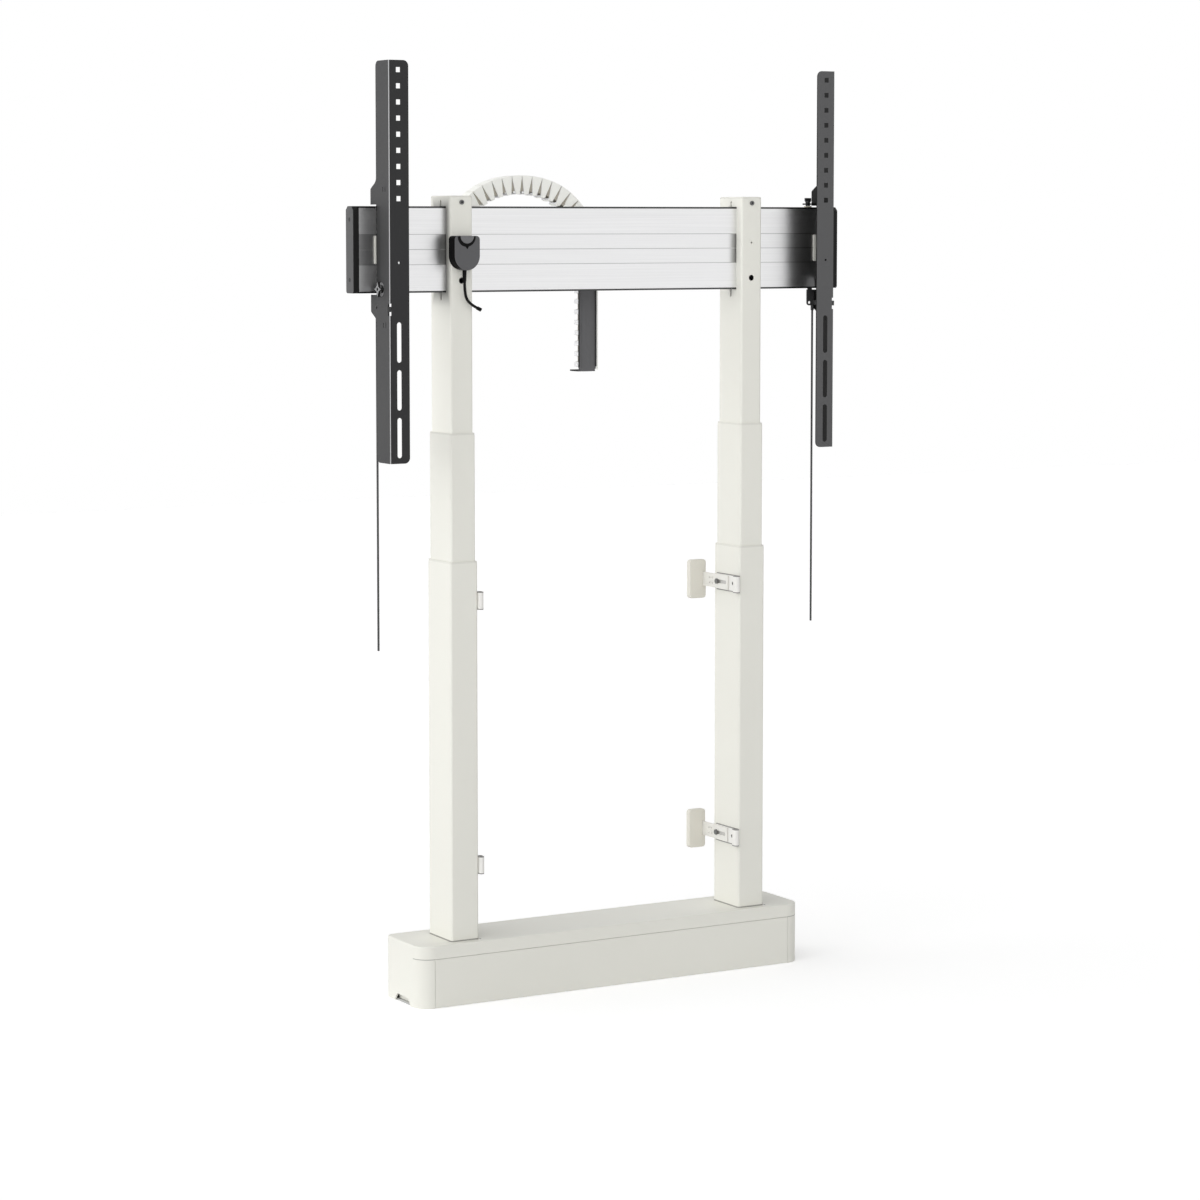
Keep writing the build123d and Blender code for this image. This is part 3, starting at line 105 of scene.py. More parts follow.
# The room's strength is a base plus the dot product of the ray's direction and a tilt. The camera
# and the gloss see a plain white backdrop instead.
world = bpy.data.worlds.new("pale_room")
bpy.context.scene.world = world
world.use_nodes = True
sky = world.node_tree
sky.nodes.clear()
world_out = add_node(sky, "OutputWorld")
room = add_node(sky, "Background")
room.inputs["Color"].default_value = white
room_way = add_node(sky, "TexCoord")
room_slope = add_node(sky, "VectorMath", operation="DOT_PRODUCT")
room_slope.inputs[1].default_value = room_tilt
room_level = add_node(sky, "Math", operation="ADD")
room_level.inputs[1].default_value = room_strength
backdrop = add_node(sky, "Background")
backdrop.inputs["Color"].default_value = white
backdrop.inputs["Strength"].default_value = 1.0
choose = add_node(sky, "MixShader")
in_view = seen_directly(sky, "Is Camera Ray", "Is Glossy Ray", "Is Transmission Ray")
join(
    sky,
    (room_way.outputs["Generated"], room_slope.inputs[0]),
    (room_slope.outputs["Value"], room_level.inputs[0]),
    (room_level.outputs[0], room.inputs["Strength"]),
    (in_view, choose.inputs[0]),
    (room.outputs[0], choose.inputs[1]),
    (backdrop.outputs[0], choose.inputs[2]),
    (choose.outputs[0], world_out.inputs["Surface"]),
)

# The floor is a matt sheet that keeps the lift's shadow. What the camera and the gloss see of it
# is lifted to white.
floor_mesh = bpy.data.meshes.new("studio_floor")
floor_mesh.from_pydata(floor_corners, [], [(0, 1, 2, 3)])
floor = add_object("studio_floor", floor_mesh)
floor_finish = bpy.data.materials.new("studio_floor")
floor_finish.use_nodes = True
ground = floor_finish.node_tree
ground.nodes.clear()
floor_out = add_node(ground, "OutputMaterial")
floor_paint = add_node(ground, "BsdfDiffuse")
floor_paint.inputs["Color"].default_value = (floor_grey, floor_grey, floor_grey, 1)
floor_light = add_node(ground, "Emission")
floor_gain = add_node(ground, "Math", operation="MULTIPLY")
floor_gain.inputs[1].default_value = floor_glow
floor_sum = add_node(ground, "AddShader")
join(
    ground,
    (seen_directly(ground, "Is Camera Ray", "Is Glossy Ray"), floor_gain.inputs[0]),
    (floor_gain.outputs[0], floor_light.inputs["Strength"]),
    (floor_paint.outputs[0], floor_sum.inputs[0]),
    (floor_light.outputs[0], floor_sum.inputs[1]),
    (floor_sum.outputs[0], floor_out.inputs["Surface"]),
)
floor_mesh.materials.append(floor_finish)


# Powder coat on the columns, the plinth and the front panel: warm off-white paint, baked on steel.
# It has a fine orange peel, faint cloudiness from the gun and a slightly uneven sheen.
def effect_group(name, inputs, outputs):
    """Empty shader group, with inputs as (name, kind, default) and outputs as (name, kind)."""
    group = bpy.data.node_groups.new(name, "ShaderNodeTree")
    for label, kind, default in inputs:
        socket = group.interface.new_socket(label, in_out="INPUT", socket_type=kind)
        socket.default_value = default
    for label, kind in outputs:
        group.interface.new_socket(label, in_out="OUTPUT", socket_type=kind)
    return group, group.nodes.new("NodeGroupInput"), group.nodes.new("NodeGroupOutput")


surface_outputs = [
    ("Color", "NodeSocketColor"),
    ("Roughness", "NodeSocketFloat"),
    ("Height", "NodeSocketFloat"),
]
peel, peel_in, peel_out = effect_group(
    "orange_peel",
    [
        ("Paint", "NodeSocketColor", (0.8, 0.8, 0.8, 1)),
        ("Shade", "NodeSocketColor", (0.7, 0.7, 0.7, 1)),
        ("Peel Scale", "NodeSocketFloat", 900.0),
        ("Rough Low", "NodeSocketFloat", 0.35),
        ("Rough High", "NodeSocketFloat", 0.5),
    ],
    surface_outputs,
)
peel_place = add_node(peel, "TexCoord")
peel_grain = add_node(peel, "TexNoise")
peel_grain.inputs["Detail"].default_value = 2.0
peel_cloud = add_node(peel, "TexNoise")
peel_cloud.inputs["Scale"].default_value = 7.0
peel_cloud.inputs["Detail"].default_value = 3.0
peel_mix = add_node(peel, "Mix", data_type="RGBA")
peel_rough = add_node(peel, "MapRange")
join(
    peel,
    (peel_place.outputs["Object"], peel_grain.inputs["Vector"]),
    (peel_place.outputs["Object"], peel_cloud.inputs["Vector"]),
    (peel_in.outputs["Peel Scale"], peel_grain.inputs["Scale"]),
    (peel_cloud.outputs["Fac"], peel_mix.inputs[0]),
    (peel_in.outputs["Shade"], peel_mix.inputs[6]),
    (peel_in.outputs["Paint"], peel_mix.inputs[7]),
    (peel_cloud.outputs["Fac"], peel_rough.inputs["Value"]),
    (peel_in.outputs["Rough Low"], peel_rough.inputs["To Min"]),
    (peel_in.outputs["Rough High"], peel_rough.inputs["To Max"]),
    (peel_mix.outputs[2], peel_out.inputs["Color"]),
    (peel_rough.outputs["Result"], peel_out.inputs["Roughness"]),
    (peel_grain.outputs["Fac"], peel_out.inputs["Height"]),
)


def finished(name, group, look, bump, depth, plain):
    """Principled material whose colour, roughness and relief come from an effect group.

    look is set on the group's sockets and plain on the shader's own; bump is the relief's
    strength and depth its distance."""
    finish = bpy.data.materials.new(name)
    finish.use_nodes = True
    tree = finish.node_tree
    shader = tree.nodes["Principled BSDF"]
    for socket, value in plain.items():
        shader.inputs[socket].default_value = value
    effect = add_node(tree, "Group", node_tree=group)
    for socket, value in look.items():
        effect.inputs[socket].default_value = value
    relief = add_node(tree, "Bump")
    relief.inputs["Strength"].default_value = bump
    relief.inputs["Distance"].default_value = depth
    join(
        tree,
        (effect.outputs["Color"], shader.inputs["Base Color"]),
        (effect.outputs["Roughness"], shader.inputs["Roughness"]),
        (effect.outputs["Height"], relief.inputs["Height"]),
        (relief.outputs["Normal"], shader.inputs["Normal"]),
    )
    return finish


def grained(name, paint, shade, scale, rough, bump, metal=0.0, specular=0.5):
    """Paint or moulding with the orange peel group: two near colours, a sheen range and a bump."""
    look = {
        "Paint": (*paint, 1),
        "Shade": (*shade, 1),
        "Peel Scale": scale,
        "Rough Low": rough[0],
        "Rough High": rough[1],
    }
    plain = {"Metallic": metal, "Specular IOR Level": specular}
    return finished(name, peel, look, bump, 0.0002, plain)


box_shade, shade_in, shade_out = effect_group(
    "box_shade",
    [
        ("Color", "NodeSocketColor", (1, 1, 1, 1)),
        ("Place", "NodeSocketVector", (0, 0, 0)),
        ("Low", "NodeSocketVector", (0, 0, 0)),
        ("High", "NodeSocketVector", (0, 0, 0)),
        ("Fade", "NodeSocketVector", (0.001, 0.001, 0.001)),
        ("Share", "NodeSocketFloat", 0.5),
    ],
    [("Color", "NodeSocketColor")],
)
over = add_node(box_shade, "VectorMath", operation="SUBTRACT")
under = add_node(box_shade, "VectorMath", operation="SUBTRACT")
nearer = add_node(box_shade, "VectorMath", operation="MINIMUM")
graded = add_node(box_shade, "VectorMath", operation="DIVIDE")
graded_split = add_node(box_shade, "SeparateXYZ")
least = add_node(box_shade, "Math", operation="MINIMUM")
least_all = add_node(box_shade, "Math", operation="MINIMUM")
shade_ramp = add_node(box_shade, "MapRange", interpolation_type="SMOOTHSTEP")
shade_ramp.inputs["To Min"].default_value = 1.0
shade_scale = add_node(box_shade, "VectorMath", operation="SCALE")
join(
    box_shade,
    (shade_in.outputs["Place"], over.inputs[0]),
    (shade_in.outputs["Low"], over.inputs[1]),
    (shade_in.outputs["High"], under.inputs[0]),
    (shade_in.outputs["Place"], under.inputs[1]),
    (over.outputs[0], nearer.inputs[0]),
    (under.outputs[0], nearer.inputs[1]),
    (nearer.outputs[0], graded.inputs[0]),
    (shade_in.outputs["Fade"], graded.inputs[1]),
    (graded.outputs[0], graded_split.inputs[0]),
    (graded_split.outputs["X"], least.inputs[0]),
    (graded_split.outputs["Y"], least.inputs[1]),
    (least.outputs[0], least_all.inputs[0]),
    (graded_split.outputs["Z"], least_all.inputs[1]),
    (least_all.outputs[0], shade_ramp.inputs["Value"]),
    (shade_in.outputs["Share"], shade_ramp.inputs["To Max"]),
    (shade_in.outputs["Color"], shade_scale.inputs[0]),
    (shade_ramp.outputs["Result"], shade_scale.inputs["Scale"]),
    (shade_scale.outputs[0], shade_out.inputs["Color"]),
)


def shade_boxes(finish, boxes):
    """Multiplies a finish's colour inside boxes, each (low corner, high corner, fade, share).

    The distance inward from the nearest side, over that axis's fade, runs smoothly from 0 to 1,
    and the colour's factor runs with it from 1 to the share."""
    tree = finish.node_tree
    shader = tree.nodes["Principled BSDF"]
    last = shader.inputs["Base Color"].links[0].from_socket
    where = add_node(tree, "TexCoord")
    for low, high, fade, share in boxes:
        effect = add_node(tree, "Group", node_tree=box_shade)
        effect.inputs["Low"].default_value = low
        effect.inputs["High"].default_value = high
        effect.inputs["Fade"].default_value = fade
        effect.inputs["Share"].default_value = share
        join(
            tree,
            (where.outputs["Object"], effect.inputs["Place"]),
            (last, effect.inputs["Color"]),
        )
        last = effect.outputs["Color"]
    join(tree, (last, shader.inputs["Base Color"]))


def both_hands(low, high, fade, share):
    """A shade box on the right of the lift, and the same one mirrored to its left."""
    mirrored = ((-high[0], *low[1:]), (-low[0], *high[1:]), fade, share)
    return [mirrored, (low, high, fade, share)]


def left_and_right(*names):
    """Names of the left and the right node of each kind."""
    return [f"{hand}_{name}" for name in names for hand in ("left", "right")]


def dress(finish, *names):
    """Gives CAD nodes a finish."""
    for name in names:
        slots = nodes[name].data.materials
        slots.clear()
        slots.append(finish)


hair_fade, sharp_fade, dot_fade = (0.0003,) * 3, (0.0001,) * 3, (0.0004,) * 3
powder_white = grained(
    "powder_white", (0.80, 0.795, 0.735), (0.765, 0.76, 0.70), 1100, (0.36, 0.5), 0.25
)
dress(powder_white, "front_panel", *left_and_right("outer_tube", "middle_tube"))

# The plinth's lid meets its body in a fine seam at the panel's upper edge, round both corners; the
# seam's dark line is painted shade. A dark dot of painted shade marks the gap at each column's
# front right foot corner.
plinth_white_painted_shade = powder_white.copy()
plinth_white_painted_shade.name = "plinth_white_painted_shade"
shade_boxes(
    plinth_white_painted_shade,
    [
        *both_hands((0.3362, -0.06, 0.0793), (0.37, -0.030, 0.0806), (0.0003, 0.004, 0.0003), 0.35),
        ((-0.2478, -0.0425, 0.099), (-0.2445, -0.0380, 0.103), dot_fade, 0.1),
        ((0.2992, -0.0425, 0.099), (0.3020, -0.0380, 0.103), dot_fade, 0.1),
    ],
)
dress(plinth_white_painted_shade, "base_cover")

# Inside, the head tubes are painted near black as shade, which shows through the slits beside the
# bar. The left one's flank is dimmed with painted shade beside the bar, where the strip stands
# close to it, and is painted lighter below as painted light.
head_white_painted_shade = powder_white.copy()
head_white_painted_shade.name = "head_white_painted_shade"
shade_boxes(
    head_white_painted_shade,
    [
        *both_hands((0.2548, -0.0332, 0.49), (0.2912, 0.0332, 1.3), sharp_fade, 0.05),
        ((-0.2950, -0.0350, 1.120), (-0.2915, 0.030, 1.306), (0.0002, 0.015, 0.035), 0.25),
        ((-0.2950, -0.0360, 0.880), (-0.2915, 0.036, 1.150), (0.0002, 0.001, 0.05), 1.17),
    ],
)
dress(head_white_painted_shade, *left_and_right("inner_tube"))

# Painted shade: a fine dark line runs round each column's foot, in the gap that the lid's opening
# leaves.
shade_boxes(
    powder_white, both_hands((0.247, -0.041, 0.1004), (0.299, 0.041, 0.1030), hair_fade, 0.45)
)

# Glide collars and head lids: acetal mouldings in the columns' colour, slightly duller and
# yellower. The collars press into the tubes' ends and carry the sliding tube.
glide_moulding = grained(
    "glide_moulding", (0.74, 0.735, 0.68), (0.70, 0.695, 0.64), 1800, (0.5, 0.62), 0.2
)
dress(glide_moulding, "outer_glides", "head_plugs", *left_and_right("middle_glide"))

# Wall brackets: moulded covers, clips and painted arms on the columns' inner sides, at two levels.
# The covers have the fine spark texture of their mould.
bracket_levels = (("upper", 0.652), ("lower", 0.222))
bracket_moulding = grained(
    "bracket_moulding", (0.745, 0.725, 0.655), (0.715, 0.695, 0.625), 2200, (0.48, 0.6), 0.45
)
bracket_paint = grained(
    "bracket_paint", (0.80, 0.79, 0.75), (0.76, 0.75, 0.71), 1300, (0.38, 0.5), 0.2
)
clip_white = grained("clip_white", (0.83, 0.82, 0.79), (0.79, 0.78, 0.75), 1600, (0.4, 0.52), 0.3)
# Painted shade: fine dark lines stand for the shade in the gaps along the clip plates' edges and
# loops and
# through the slots: front and rear, low and high from the bracket's level, and how dark each is.
clip_shade_lines = [
    ((-0.0460, 0.0345), (0.0127, 0.0147), 0.3),
    ((-0.0460, 0.0345), (-0.0147, -0.0127), 0.3),
    ((-0.0318, -0.0300), (-0.0150, 0.0150), 0.3),
    ((-0.0065, 0.0305), (-0.0035, 0.0035), 0.68),
]
for _, level in bracket_levels:
    for (front, rear), (low, high), share in clip_shade_lines:
        near, far = (0.2385, front, level + low), (0.2490, rear, level + high)
        shade_boxes(clip_white, both_hands(near, far, hair_fade, share))
dress(bracket_moulding, *left_and_right("upper_pad", "lower_pad"))
dress(bracket_paint, *left_and_right("upper_arm", "lower_arm"))
dress(clip_white, "wall_clips")


# Display strips and cable plate: folded steel in fine-textured black paint, which reads dark grey.
# The texture is coarser than the columns' and the sheen is low. The tones that differ by the way a
# face points are painted light and shade.
blue_cast = 1.02


def paint_light_by_facing(finish, left, right, edge, left_from=(0.75, 0.92), crease=None):
    """Paints light and shade by the way a face points: tones for left faces, for right faces, for
    the rounded edge between front and left (a painted highlight where it is lighter), and for a
    crease beside the front (a painted dark line of shade). A tone is a grey, and None keeps the
    finish's own colour.

    A tone's share is the dot product of the face's normal and the tone's direction, ramped from 0
    to 1 between two values."""
    tree = finish.node_tree
    shader = tree.nodes["Principled BSDF"]
    last = shader.inputs["Base Color"].links[0].from_socket
    facing = add_node(tree, "TexCoord")
    for tone, way, start, end in (
        (left, (-1, 0, 0), *left_from),
        (right, (1, 0, 0), 0.6, 0.9),
        (edge, (-0.7071, -0.7071, 0), 0.93, 0.975),
        (crease, (-0.34, -0.94, 0), 0.972, 0.988),
    ):
        if tone is None:
            continue
        amount = add_node(tree, "VectorMath", operation="DOT_PRODUCT")
        amount.inputs[1].default_value = way
        ramp = add_node(tree, "MapRange")
        ramp.inputs["From Min"].default_value = start
        ramp.inputs["From Max"].default_value = end
        mixer = add_node(tree, "Mix", data_type="RGBA")
        mixer.inputs[7].default_value = (tone, tone, tone * blue_cast, 1)
        join(
            tree,
            (facing.outputs["Normal"], amount.inputs[0]),
            (amount.outputs["Value"], ramp.inputs["Value"]),
            (ramp.outputs["Result"], mixer.inputs[0]),
            (last, mixer.inputs[6]),
        )
        last = mixer.outputs[2]
    join(tree, (last, shader.inputs["Base Color"]))


def strip_paint(name, paint, shade):
    """The coarse black paint of the strips and the cable plate, in two near greys."""
    return grained(name, paint, shade, 1500, (0.5, 0.64), 0.5, specular=0.22)


# The two strips wear one paint; the left one's darker grey is painted shade and the right one's
# lighter grey is painted light.
left_strip_black = strip_paint("left_strip_black", (0.030, 0.030, 0.031), (0.023, 0.023, 0.024))
# Painted light and shade by facing: left faces lighter, right faces darker, a painted highlight
# along the fold and a painted dark line of shade beside it.
paint_light_by_facing(left_strip_black, 0.059, 0.006, 0.44, crease=0.002)
# Painted shade: its flank darkens towards the bar, which it stands close to.
shade_boxes(
    left_strip_black,
    [
        ((-0.4180, -0.0420, 1.1445), (-0.4140, -0.0150, 1.2850), (0.0002, 0.014, 0.003), 0.66),
        ((-0.4180, -0.0250, 1.1445), (-0.4140, -0.0190, 1.2850), (0.0002, 0.0015, 0.003), 0.15),
    ],
)
right_strip_black = strip_paint("right_strip_black", (0.102, 0.102, 0.104), (0.094, 0.094, 0.096))
# Painted shade by facing: left faces near black, right faces a darker grey.
paint_light_by_facing(right_strip_black, 0.006, 0.045, None)
# Painted shade: all that lies behind its front face is darkened, and shows dark through the slots
# too.
shade_boxes(
    right_strip_black, [((0.3, -0.0670, 0.85), (0.4160, 0.01, 1.52), (0.0002,) * 3, 0.06)]
)
plate_black = strip_paint("plate_black", (0.125, 0.125, 0.129), (0.115, 0.115, 0.119))
# Painted shade by facing: left faces, right faces and the rounded edge are darker.
paint_light_by_facing(plate_black, 0.01, 0.03, 0.02)
dress(left_strip_black, "left_strip")
dress(right_strip_black, "right_strip")
dress(plate_black, "cable_plate")


# End caps, hand control housing and key: black mouldings with a matt spark texture. The key is
# smoother and lighter than the housing, and the strain relief and the plug are near black.
def neutral_dark(name, grey, shade, scale, rough, bump, specular):
    """Dark moulding or coating: the grained finish in two neutral greys."""
    return grained(name, (grey,) * 3, (shade,) * 3, scale, rough, bump, specular=specular)


cap_moulding = neutral_dark("cap_moulding", 0.006, 0.004, 2400, (0.5, 0.62), 0.4, 0.2)
# Painted light by facing: the black is lighter on left faces, right faces and the rounded edge.
paint_light_by_facing(cap_moulding, 0.098, 0.045, 0.02)
hand_moulding = grained(
    "hand_moulding",
    (0.124, 0.124, 0.128),
    (0.114, 0.114, 0.118),
    2600,
    (0.42, 0.55),
    0.4,
    specular=0.03,
)
# Painted light and shade: the front is a lit grey, and the sides and rounded edge are near black as
# shade.
paint_light_by_facing(hand_moulding, 0.001, 0.02, 0.003, left_from=(0.3, 0.5))
key_moulding = grained(
    "key_moulding",
    (0.175, 0.175, 0.180),
    (0.165, 0.165, 0.170),
    2600,
    (0.28, 0.36),
    0.2,
    specular=0.12,
)
lead_moulding = neutral_dark("lead_moulding", 0.003, 0.002, 1500, (0.36, 0.46), 0.2, 0.1)
dress(cap_moulding, *left_and_right("end_cap"))
dress(hand_moulding, "handset_shell")
dress(lead_moulding, "handset_gland", "handset_plug")
dress(key_moulding, "handset_button")

# Rim of the key's pocket: a dark bevelled half ring with a small pointer at its lowest point, the
# painted shade of the groove round the key and its notch. The groove is moulded with the housing,
# so its shade is drawn on the housing's face, 0.15 mm proud.
rim_centre, rim_front, rim_proud, rim_count = (-0.27285, 1.2364), -0.05415, 0.00015, 49
rim_drop, rim_end = 0.0003, 0.02
point_tip = [(-0.0036, -0.0160), (0.0036, -0.0158), (0.0, -0.0213)]
# A point is the pocket's centre plus a radius at an angle. The radius takes four steps across the
# rim, and the rim is wider on the left and at the bottom than on the right.
rim_turn = np.linspace(math.pi + rim_end, 2 * math.pi - rim_end, rim_count)
rim_steps = np.array([0.0121, 0.0124, 0.0168, 0.0171])
rim_lift = rim_proud * np.array([0, 1, 1, 0])
rim_wide = np.interp(rim_turn, [math.pi, 1.3 * math.pi, 2 * math.pi], [0.95, 1.1, 0.6])
rim_radius = rim_steps[0] + (rim_steps[None, :] - rim_steps[0]) * rim_wide[:, None]
rim_points = np.stack(
    [
        rim_centre[0] + rim_radius * np.cos(rim_turn)[:, None],
        rim_front - rim_lift[None, :] + 0 * rim_radius,
        rim_centre[1] - rim_drop + rim_radius * np.sin(rim_turn)[:, None],
    ],
    axis=-1,
).reshape(-1, 3)
rim_across = len(rim_steps)
rim_cell = np.arange(rim_count - 1)[:, None] * rim_across + np.arange(rim_across - 1)[None, :]
rim_cell = rim_cell.reshape(-1)
rim_faces = np.stack(
    [rim_cell, rim_cell + 1, rim_cell + rim_across + 1, rim_cell + rim_across], 1
).tolist()
rim_points = rim_points.tolist() + [
    (rim_centre[0] + x, rim_front - rim_proud, rim_centre[1] + z) for x, z in point_tip
]
rim_faces.append([len(rim_points) - 3, len(rim_points) - 1, len(rim_points) - 2])
rim_mesh = bpy.data.meshes.new("key_rim")
rim_mesh.from_pydata(rim_points, [], rim_faces)
rim_mesh.materials.append(lead_moulding)
key_rim = add_object("key_rim", rim_mesh)
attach(key_rim, "carriage")

# Latches and lock knobs: zinc castings, tumbled and coated dark grey. The knobs' flanks are painted
# lighter than their faces, as painted light.
latch_grey = grained(
    "latch_grey",
    (0.055, 0.055, 0.056),
    (0.045, 0.045, 0.046),
    1400,
    (0.4, 0.5),
    0.4,
    specular=0.3,
)
knob_grey = neutral_dark("knob_grey", 0.020, 0.014, 1400, (0.38, 0.5), 0.3, 0.3)
paint_light_by_facing(knob_grey, 0.32, 0.32, 0.02)
dress(latch_grey, *left_and_right("latch"))
dress(knob_grey, *left_and_right("knob"))

# Machinery inside the plinth: cast gearboxes, blackened motors and a moulded control box. They
# stand on the floor frame, out of sight, and their look is a guess.
cast_grey = grained(
    "cast_grey", (0.22, 0.22, 0.225), (0.15, 0.15, 0.155), 700, (0.5, 0.7), 0.9, metal=0.7
)
motor_black = grained(
    "motor_black", (0.05, 0.05, 0.052), (0.035, 0.035, 0.036), 900, (0.36, 0.5), 0.3, metal=0.5
)
box_moulding = grained(
    "box_moulding", (0.085, 0.085, 0.09), (0.07, 0.07, 0.075), 2000, (0.45, 0.6), 0.5
)
dress(cast_grey, "gearboxes")
dress(motor_black, "lift_motors")
dress(box_moulding, "control_box")

# Nuts, shoes and other bearing blocks: natural nylon, milky and slightly yellow. The nuts are held
# in the tubes and run on the screws, and the shoes slide on the bar.
nylon = grained("nylon", (0.72, 0.69, 0.58), (0.66, 0.63, 0.52), 1600, (0.4, 0.52), 0.25)
dress(nylon, *left_and_right("middle_nut", "inner_nut", "hanger_shoe"))

# Cross bar: extruded aluminium, linished along its length and clear anodised.
# Fine scratches run along X, stronger bands lie between them, and the sheen changes band by band.
brushing, brush_in, brush_out = effect_group(
    "long_brushing",
    [
        ("Metal", "NodeSocketColor", (0.8, 0.8, 0.8, 1)),
        ("Dark", "NodeSocketColor", (0.6, 0.6, 0.6, 1)),
        ("Along", "NodeSocketFloat", 6.0),
        ("Across", "NodeSocketFloat", 1400.0),
    ],
    surface_outputs,
)
brush_place = add_node(brushing, "TexCoord")
brush_split = add_node(brushing, "SeparateXYZ")
brush_join = add_node(brushing, "CombineXYZ")
brush_fine = add_node(brushing, "TexNoise")
brush_fine.inputs["Scale"].default_value = 1.0
brush_fine.inputs["Detail"].default_value = 3.0
brush_band = add_node(brushing, "TexNoise")
brush_band.inputs["Scale"].default_value = 0.12
brush_band.inputs["Detail"].default_value = 2.0
brush_mix = add_node(brushing, "Mix", data_type="RGBA")
brush_rough = add_node(brushing, "MapRange")
brush_rough.inputs["To Min"].default_value = 0.26
brush_rough.inputs["To Max"].default_value = 0.42
for axis, rate in (("X", "Along"), ("Y", "Across"), ("Z", "Across")):
    scaled = add_node(brushing, "Math", operation="MULTIPLY")
    join(
        brushing,
        (brush_split.outputs[axis], scaled.inputs[0]),
        (brush_in.outputs[rate], scaled.inputs[1]),
        (scaled.outputs[0], brush_join.inputs[axis]),
    )
join(
    brushing,
    (brush_place.outputs["Object"], brush_split.inputs[0]),
    (brush_join.outputs[0], brush_fine.inputs["Vector"]),
    (brush_join.outputs[0], brush_band.inputs["Vector"]),
    (brush_fine.outputs["Fac"], brush_mix.inputs[0]),
    (brush_in.outputs["Dark"], brush_mix.inputs[6]),
    (brush_in.outputs["Metal"], brush_mix.inputs[7]),
    (brush_band.outputs["Fac"], brush_rough.inputs["Value"]),
    (brush_mix.outputs[2], brush_out.inputs["Color"]),
    (brush_rough.outputs["Result"], brush_out.inputs["Roughness"]),
    (brush_fine.outputs["Fac"], brush_out.inputs["Height"]),
)


def brushed(name, metal, dark, along, across, bump):
    """Bare metal with the long brushing group: two near greys, scratch rates and a bump."""
    look = {"Metal": (*metal, 1), "Dark": (*dark, 1), "Along": along, "Across": across}
    return finished(name, brushing, look, bump, 0.0001, {"Metallic": 1.0})


bar_metal = brushed("bar_metal", (0.90, 0.90, 0.905), (0.74, 0.74, 0.745), 5, 1500, 0.3)
# Painted shade: fine dark lines follow the extrusion's edges and grooves. Painted reflections: the
# metal is darkened where it mirrors the dark strips and the columns' flanks beside them.
bar_left, bar_right, bar_low, bar_high = -0.4465, 0.4465, 1.1, 1.3
bar_front, face_rear, edge_rear = -0.03, -0.012, 0.009
edge_lines = ((1.2800, 1.2841), (1.1454, 1.1494))
groove_levels, groove_line = (1.2381, 1.2141, 1.1901), 0.0013
recess_front, recess_rear, recess_low, recess_high = -0.0185, -0.0175, 1.191, 1.2385
line_fade, face_fade, recess_fade = (0.0002, 0.004, 0.0005), (0.001, 0.001), (0.0003, 0.0004)
shade_boxes(
    bar_metal,
    [
        ((bar_left, bar_front, low), (bar_right, edge_rear, high), line_fade, 0.09)
        for low, high in edge_lines
    ]
    + [
        ((bar_left, bar_front, z), (bar_right, face_rear, z + groove_line), line_fade, 0.45)
        for z in groove_levels
    ]
    + [
        ((left, bar_front, bar_low), (right, face_rear, bar_high), (fade, *face_fade), share)
        for left, right, fade, share in ((-0.480, -0.400, 0.040, 0.42), (0.350, 0.460, 0.024, 0.68))
    ]
    + [
        (
            (left, recess_front, recess_low),
            (right, recess_rear, recess_high),
            (fade, *recess_fade),
            share,
        )
        for left, right, fade, share in (
            (-0.480, -0.400, 0.012, 0.62),
            (-0.314, -0.280, 0.016, 0.40),
            (0.236, 0.270, 0.016, 0.40),
        )
    ],
)
dress(bar_metal, "crossbar")

# Glide pads: thin acetal blocks on the display strips' rear edges, which run in the bar's recess.
# Their ends show as pale slivers beside the strips.
hands = (("left", -1), ("right", 1))
pad_x, pad_y, pad_z = (0.4075, 0.4197), (-0.0207, -0.0183), (1.1929, 1.2366)


def plain_block(name, side, xs, ys, zs, finish, body):
    """Closed block between two coordinates on each axis, with X taken to one side of the lift."""
    corners = [(x, y, z) for x in sorted(side * x for x in xs) for y in ys for z in zs]
    sides = [
        (0, 1, 3, 2),
        (4, 6, 7, 5),
        (0, 4, 5, 1),
        (2, 3, 7, 6),
        (0, 2, 6, 4),
        (1, 5, 7, 3),
    ]
    mesh = bpy.data.meshes.new(name)
    mesh.from_pydata(corners, [], sides)
    mesh.materials.append(finish)
    block = add_object(name, mesh)
    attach(block, body)


for hand, side in hands:
    plain_block(
        f"{hand}_glide_pad",
        side,
        pad_x,
        pad_y,
        pad_z,
        glide_moulding,
        f"{hand}_display_strip",
    )

# Baffles behind the plinth's cable notches: thin painted plates that stand on the floor frame and
# close the view into the plinth. They stand clear of the notches' own openings.
baffle_x, baffle_y, baffle_z = (0.3562, 0.3568), (-0.026, 0.032), (0.0032, 0.0240)
for hand, side in hands:
    plain_block(
        f"{hand}_notch_baffle",
        side,
        baffle_x,
        baffle_y,
        baffle_z,
        plinth_white_painted_shade,
        "root",
    )

# Spindles, fasteners, floor frame and anchor: zinc-plated steel, turned or rolled. The heads of the
# right brackets' arm screws are darkened with painted shade.
turned_zinc = brushed("turned_zinc", (0.66, 0.66, 0.65), (0.50, 0.50, 0.49), 900, 900, 0.25)
rolled_zinc = brushed("rolled_zinc", (0.58, 0.585, 0.58), (0.46, 0.465, 0.46), 40, 220, 0.2)
shade_boxes(
    turned_zinc,
    [
        ((0.2385, 0.015, level - 0.006), (0.2432, 0.029, level + 0.006), sharp_fade, 0.35)
        for _, level in bracket_levels
    ],
)
dress(turned_zinc, "root_fasteners", *left_and_right("lower_screw", "upper_screw"))
dress(rolled_zinc, "floor_frame", "chain_anchor")

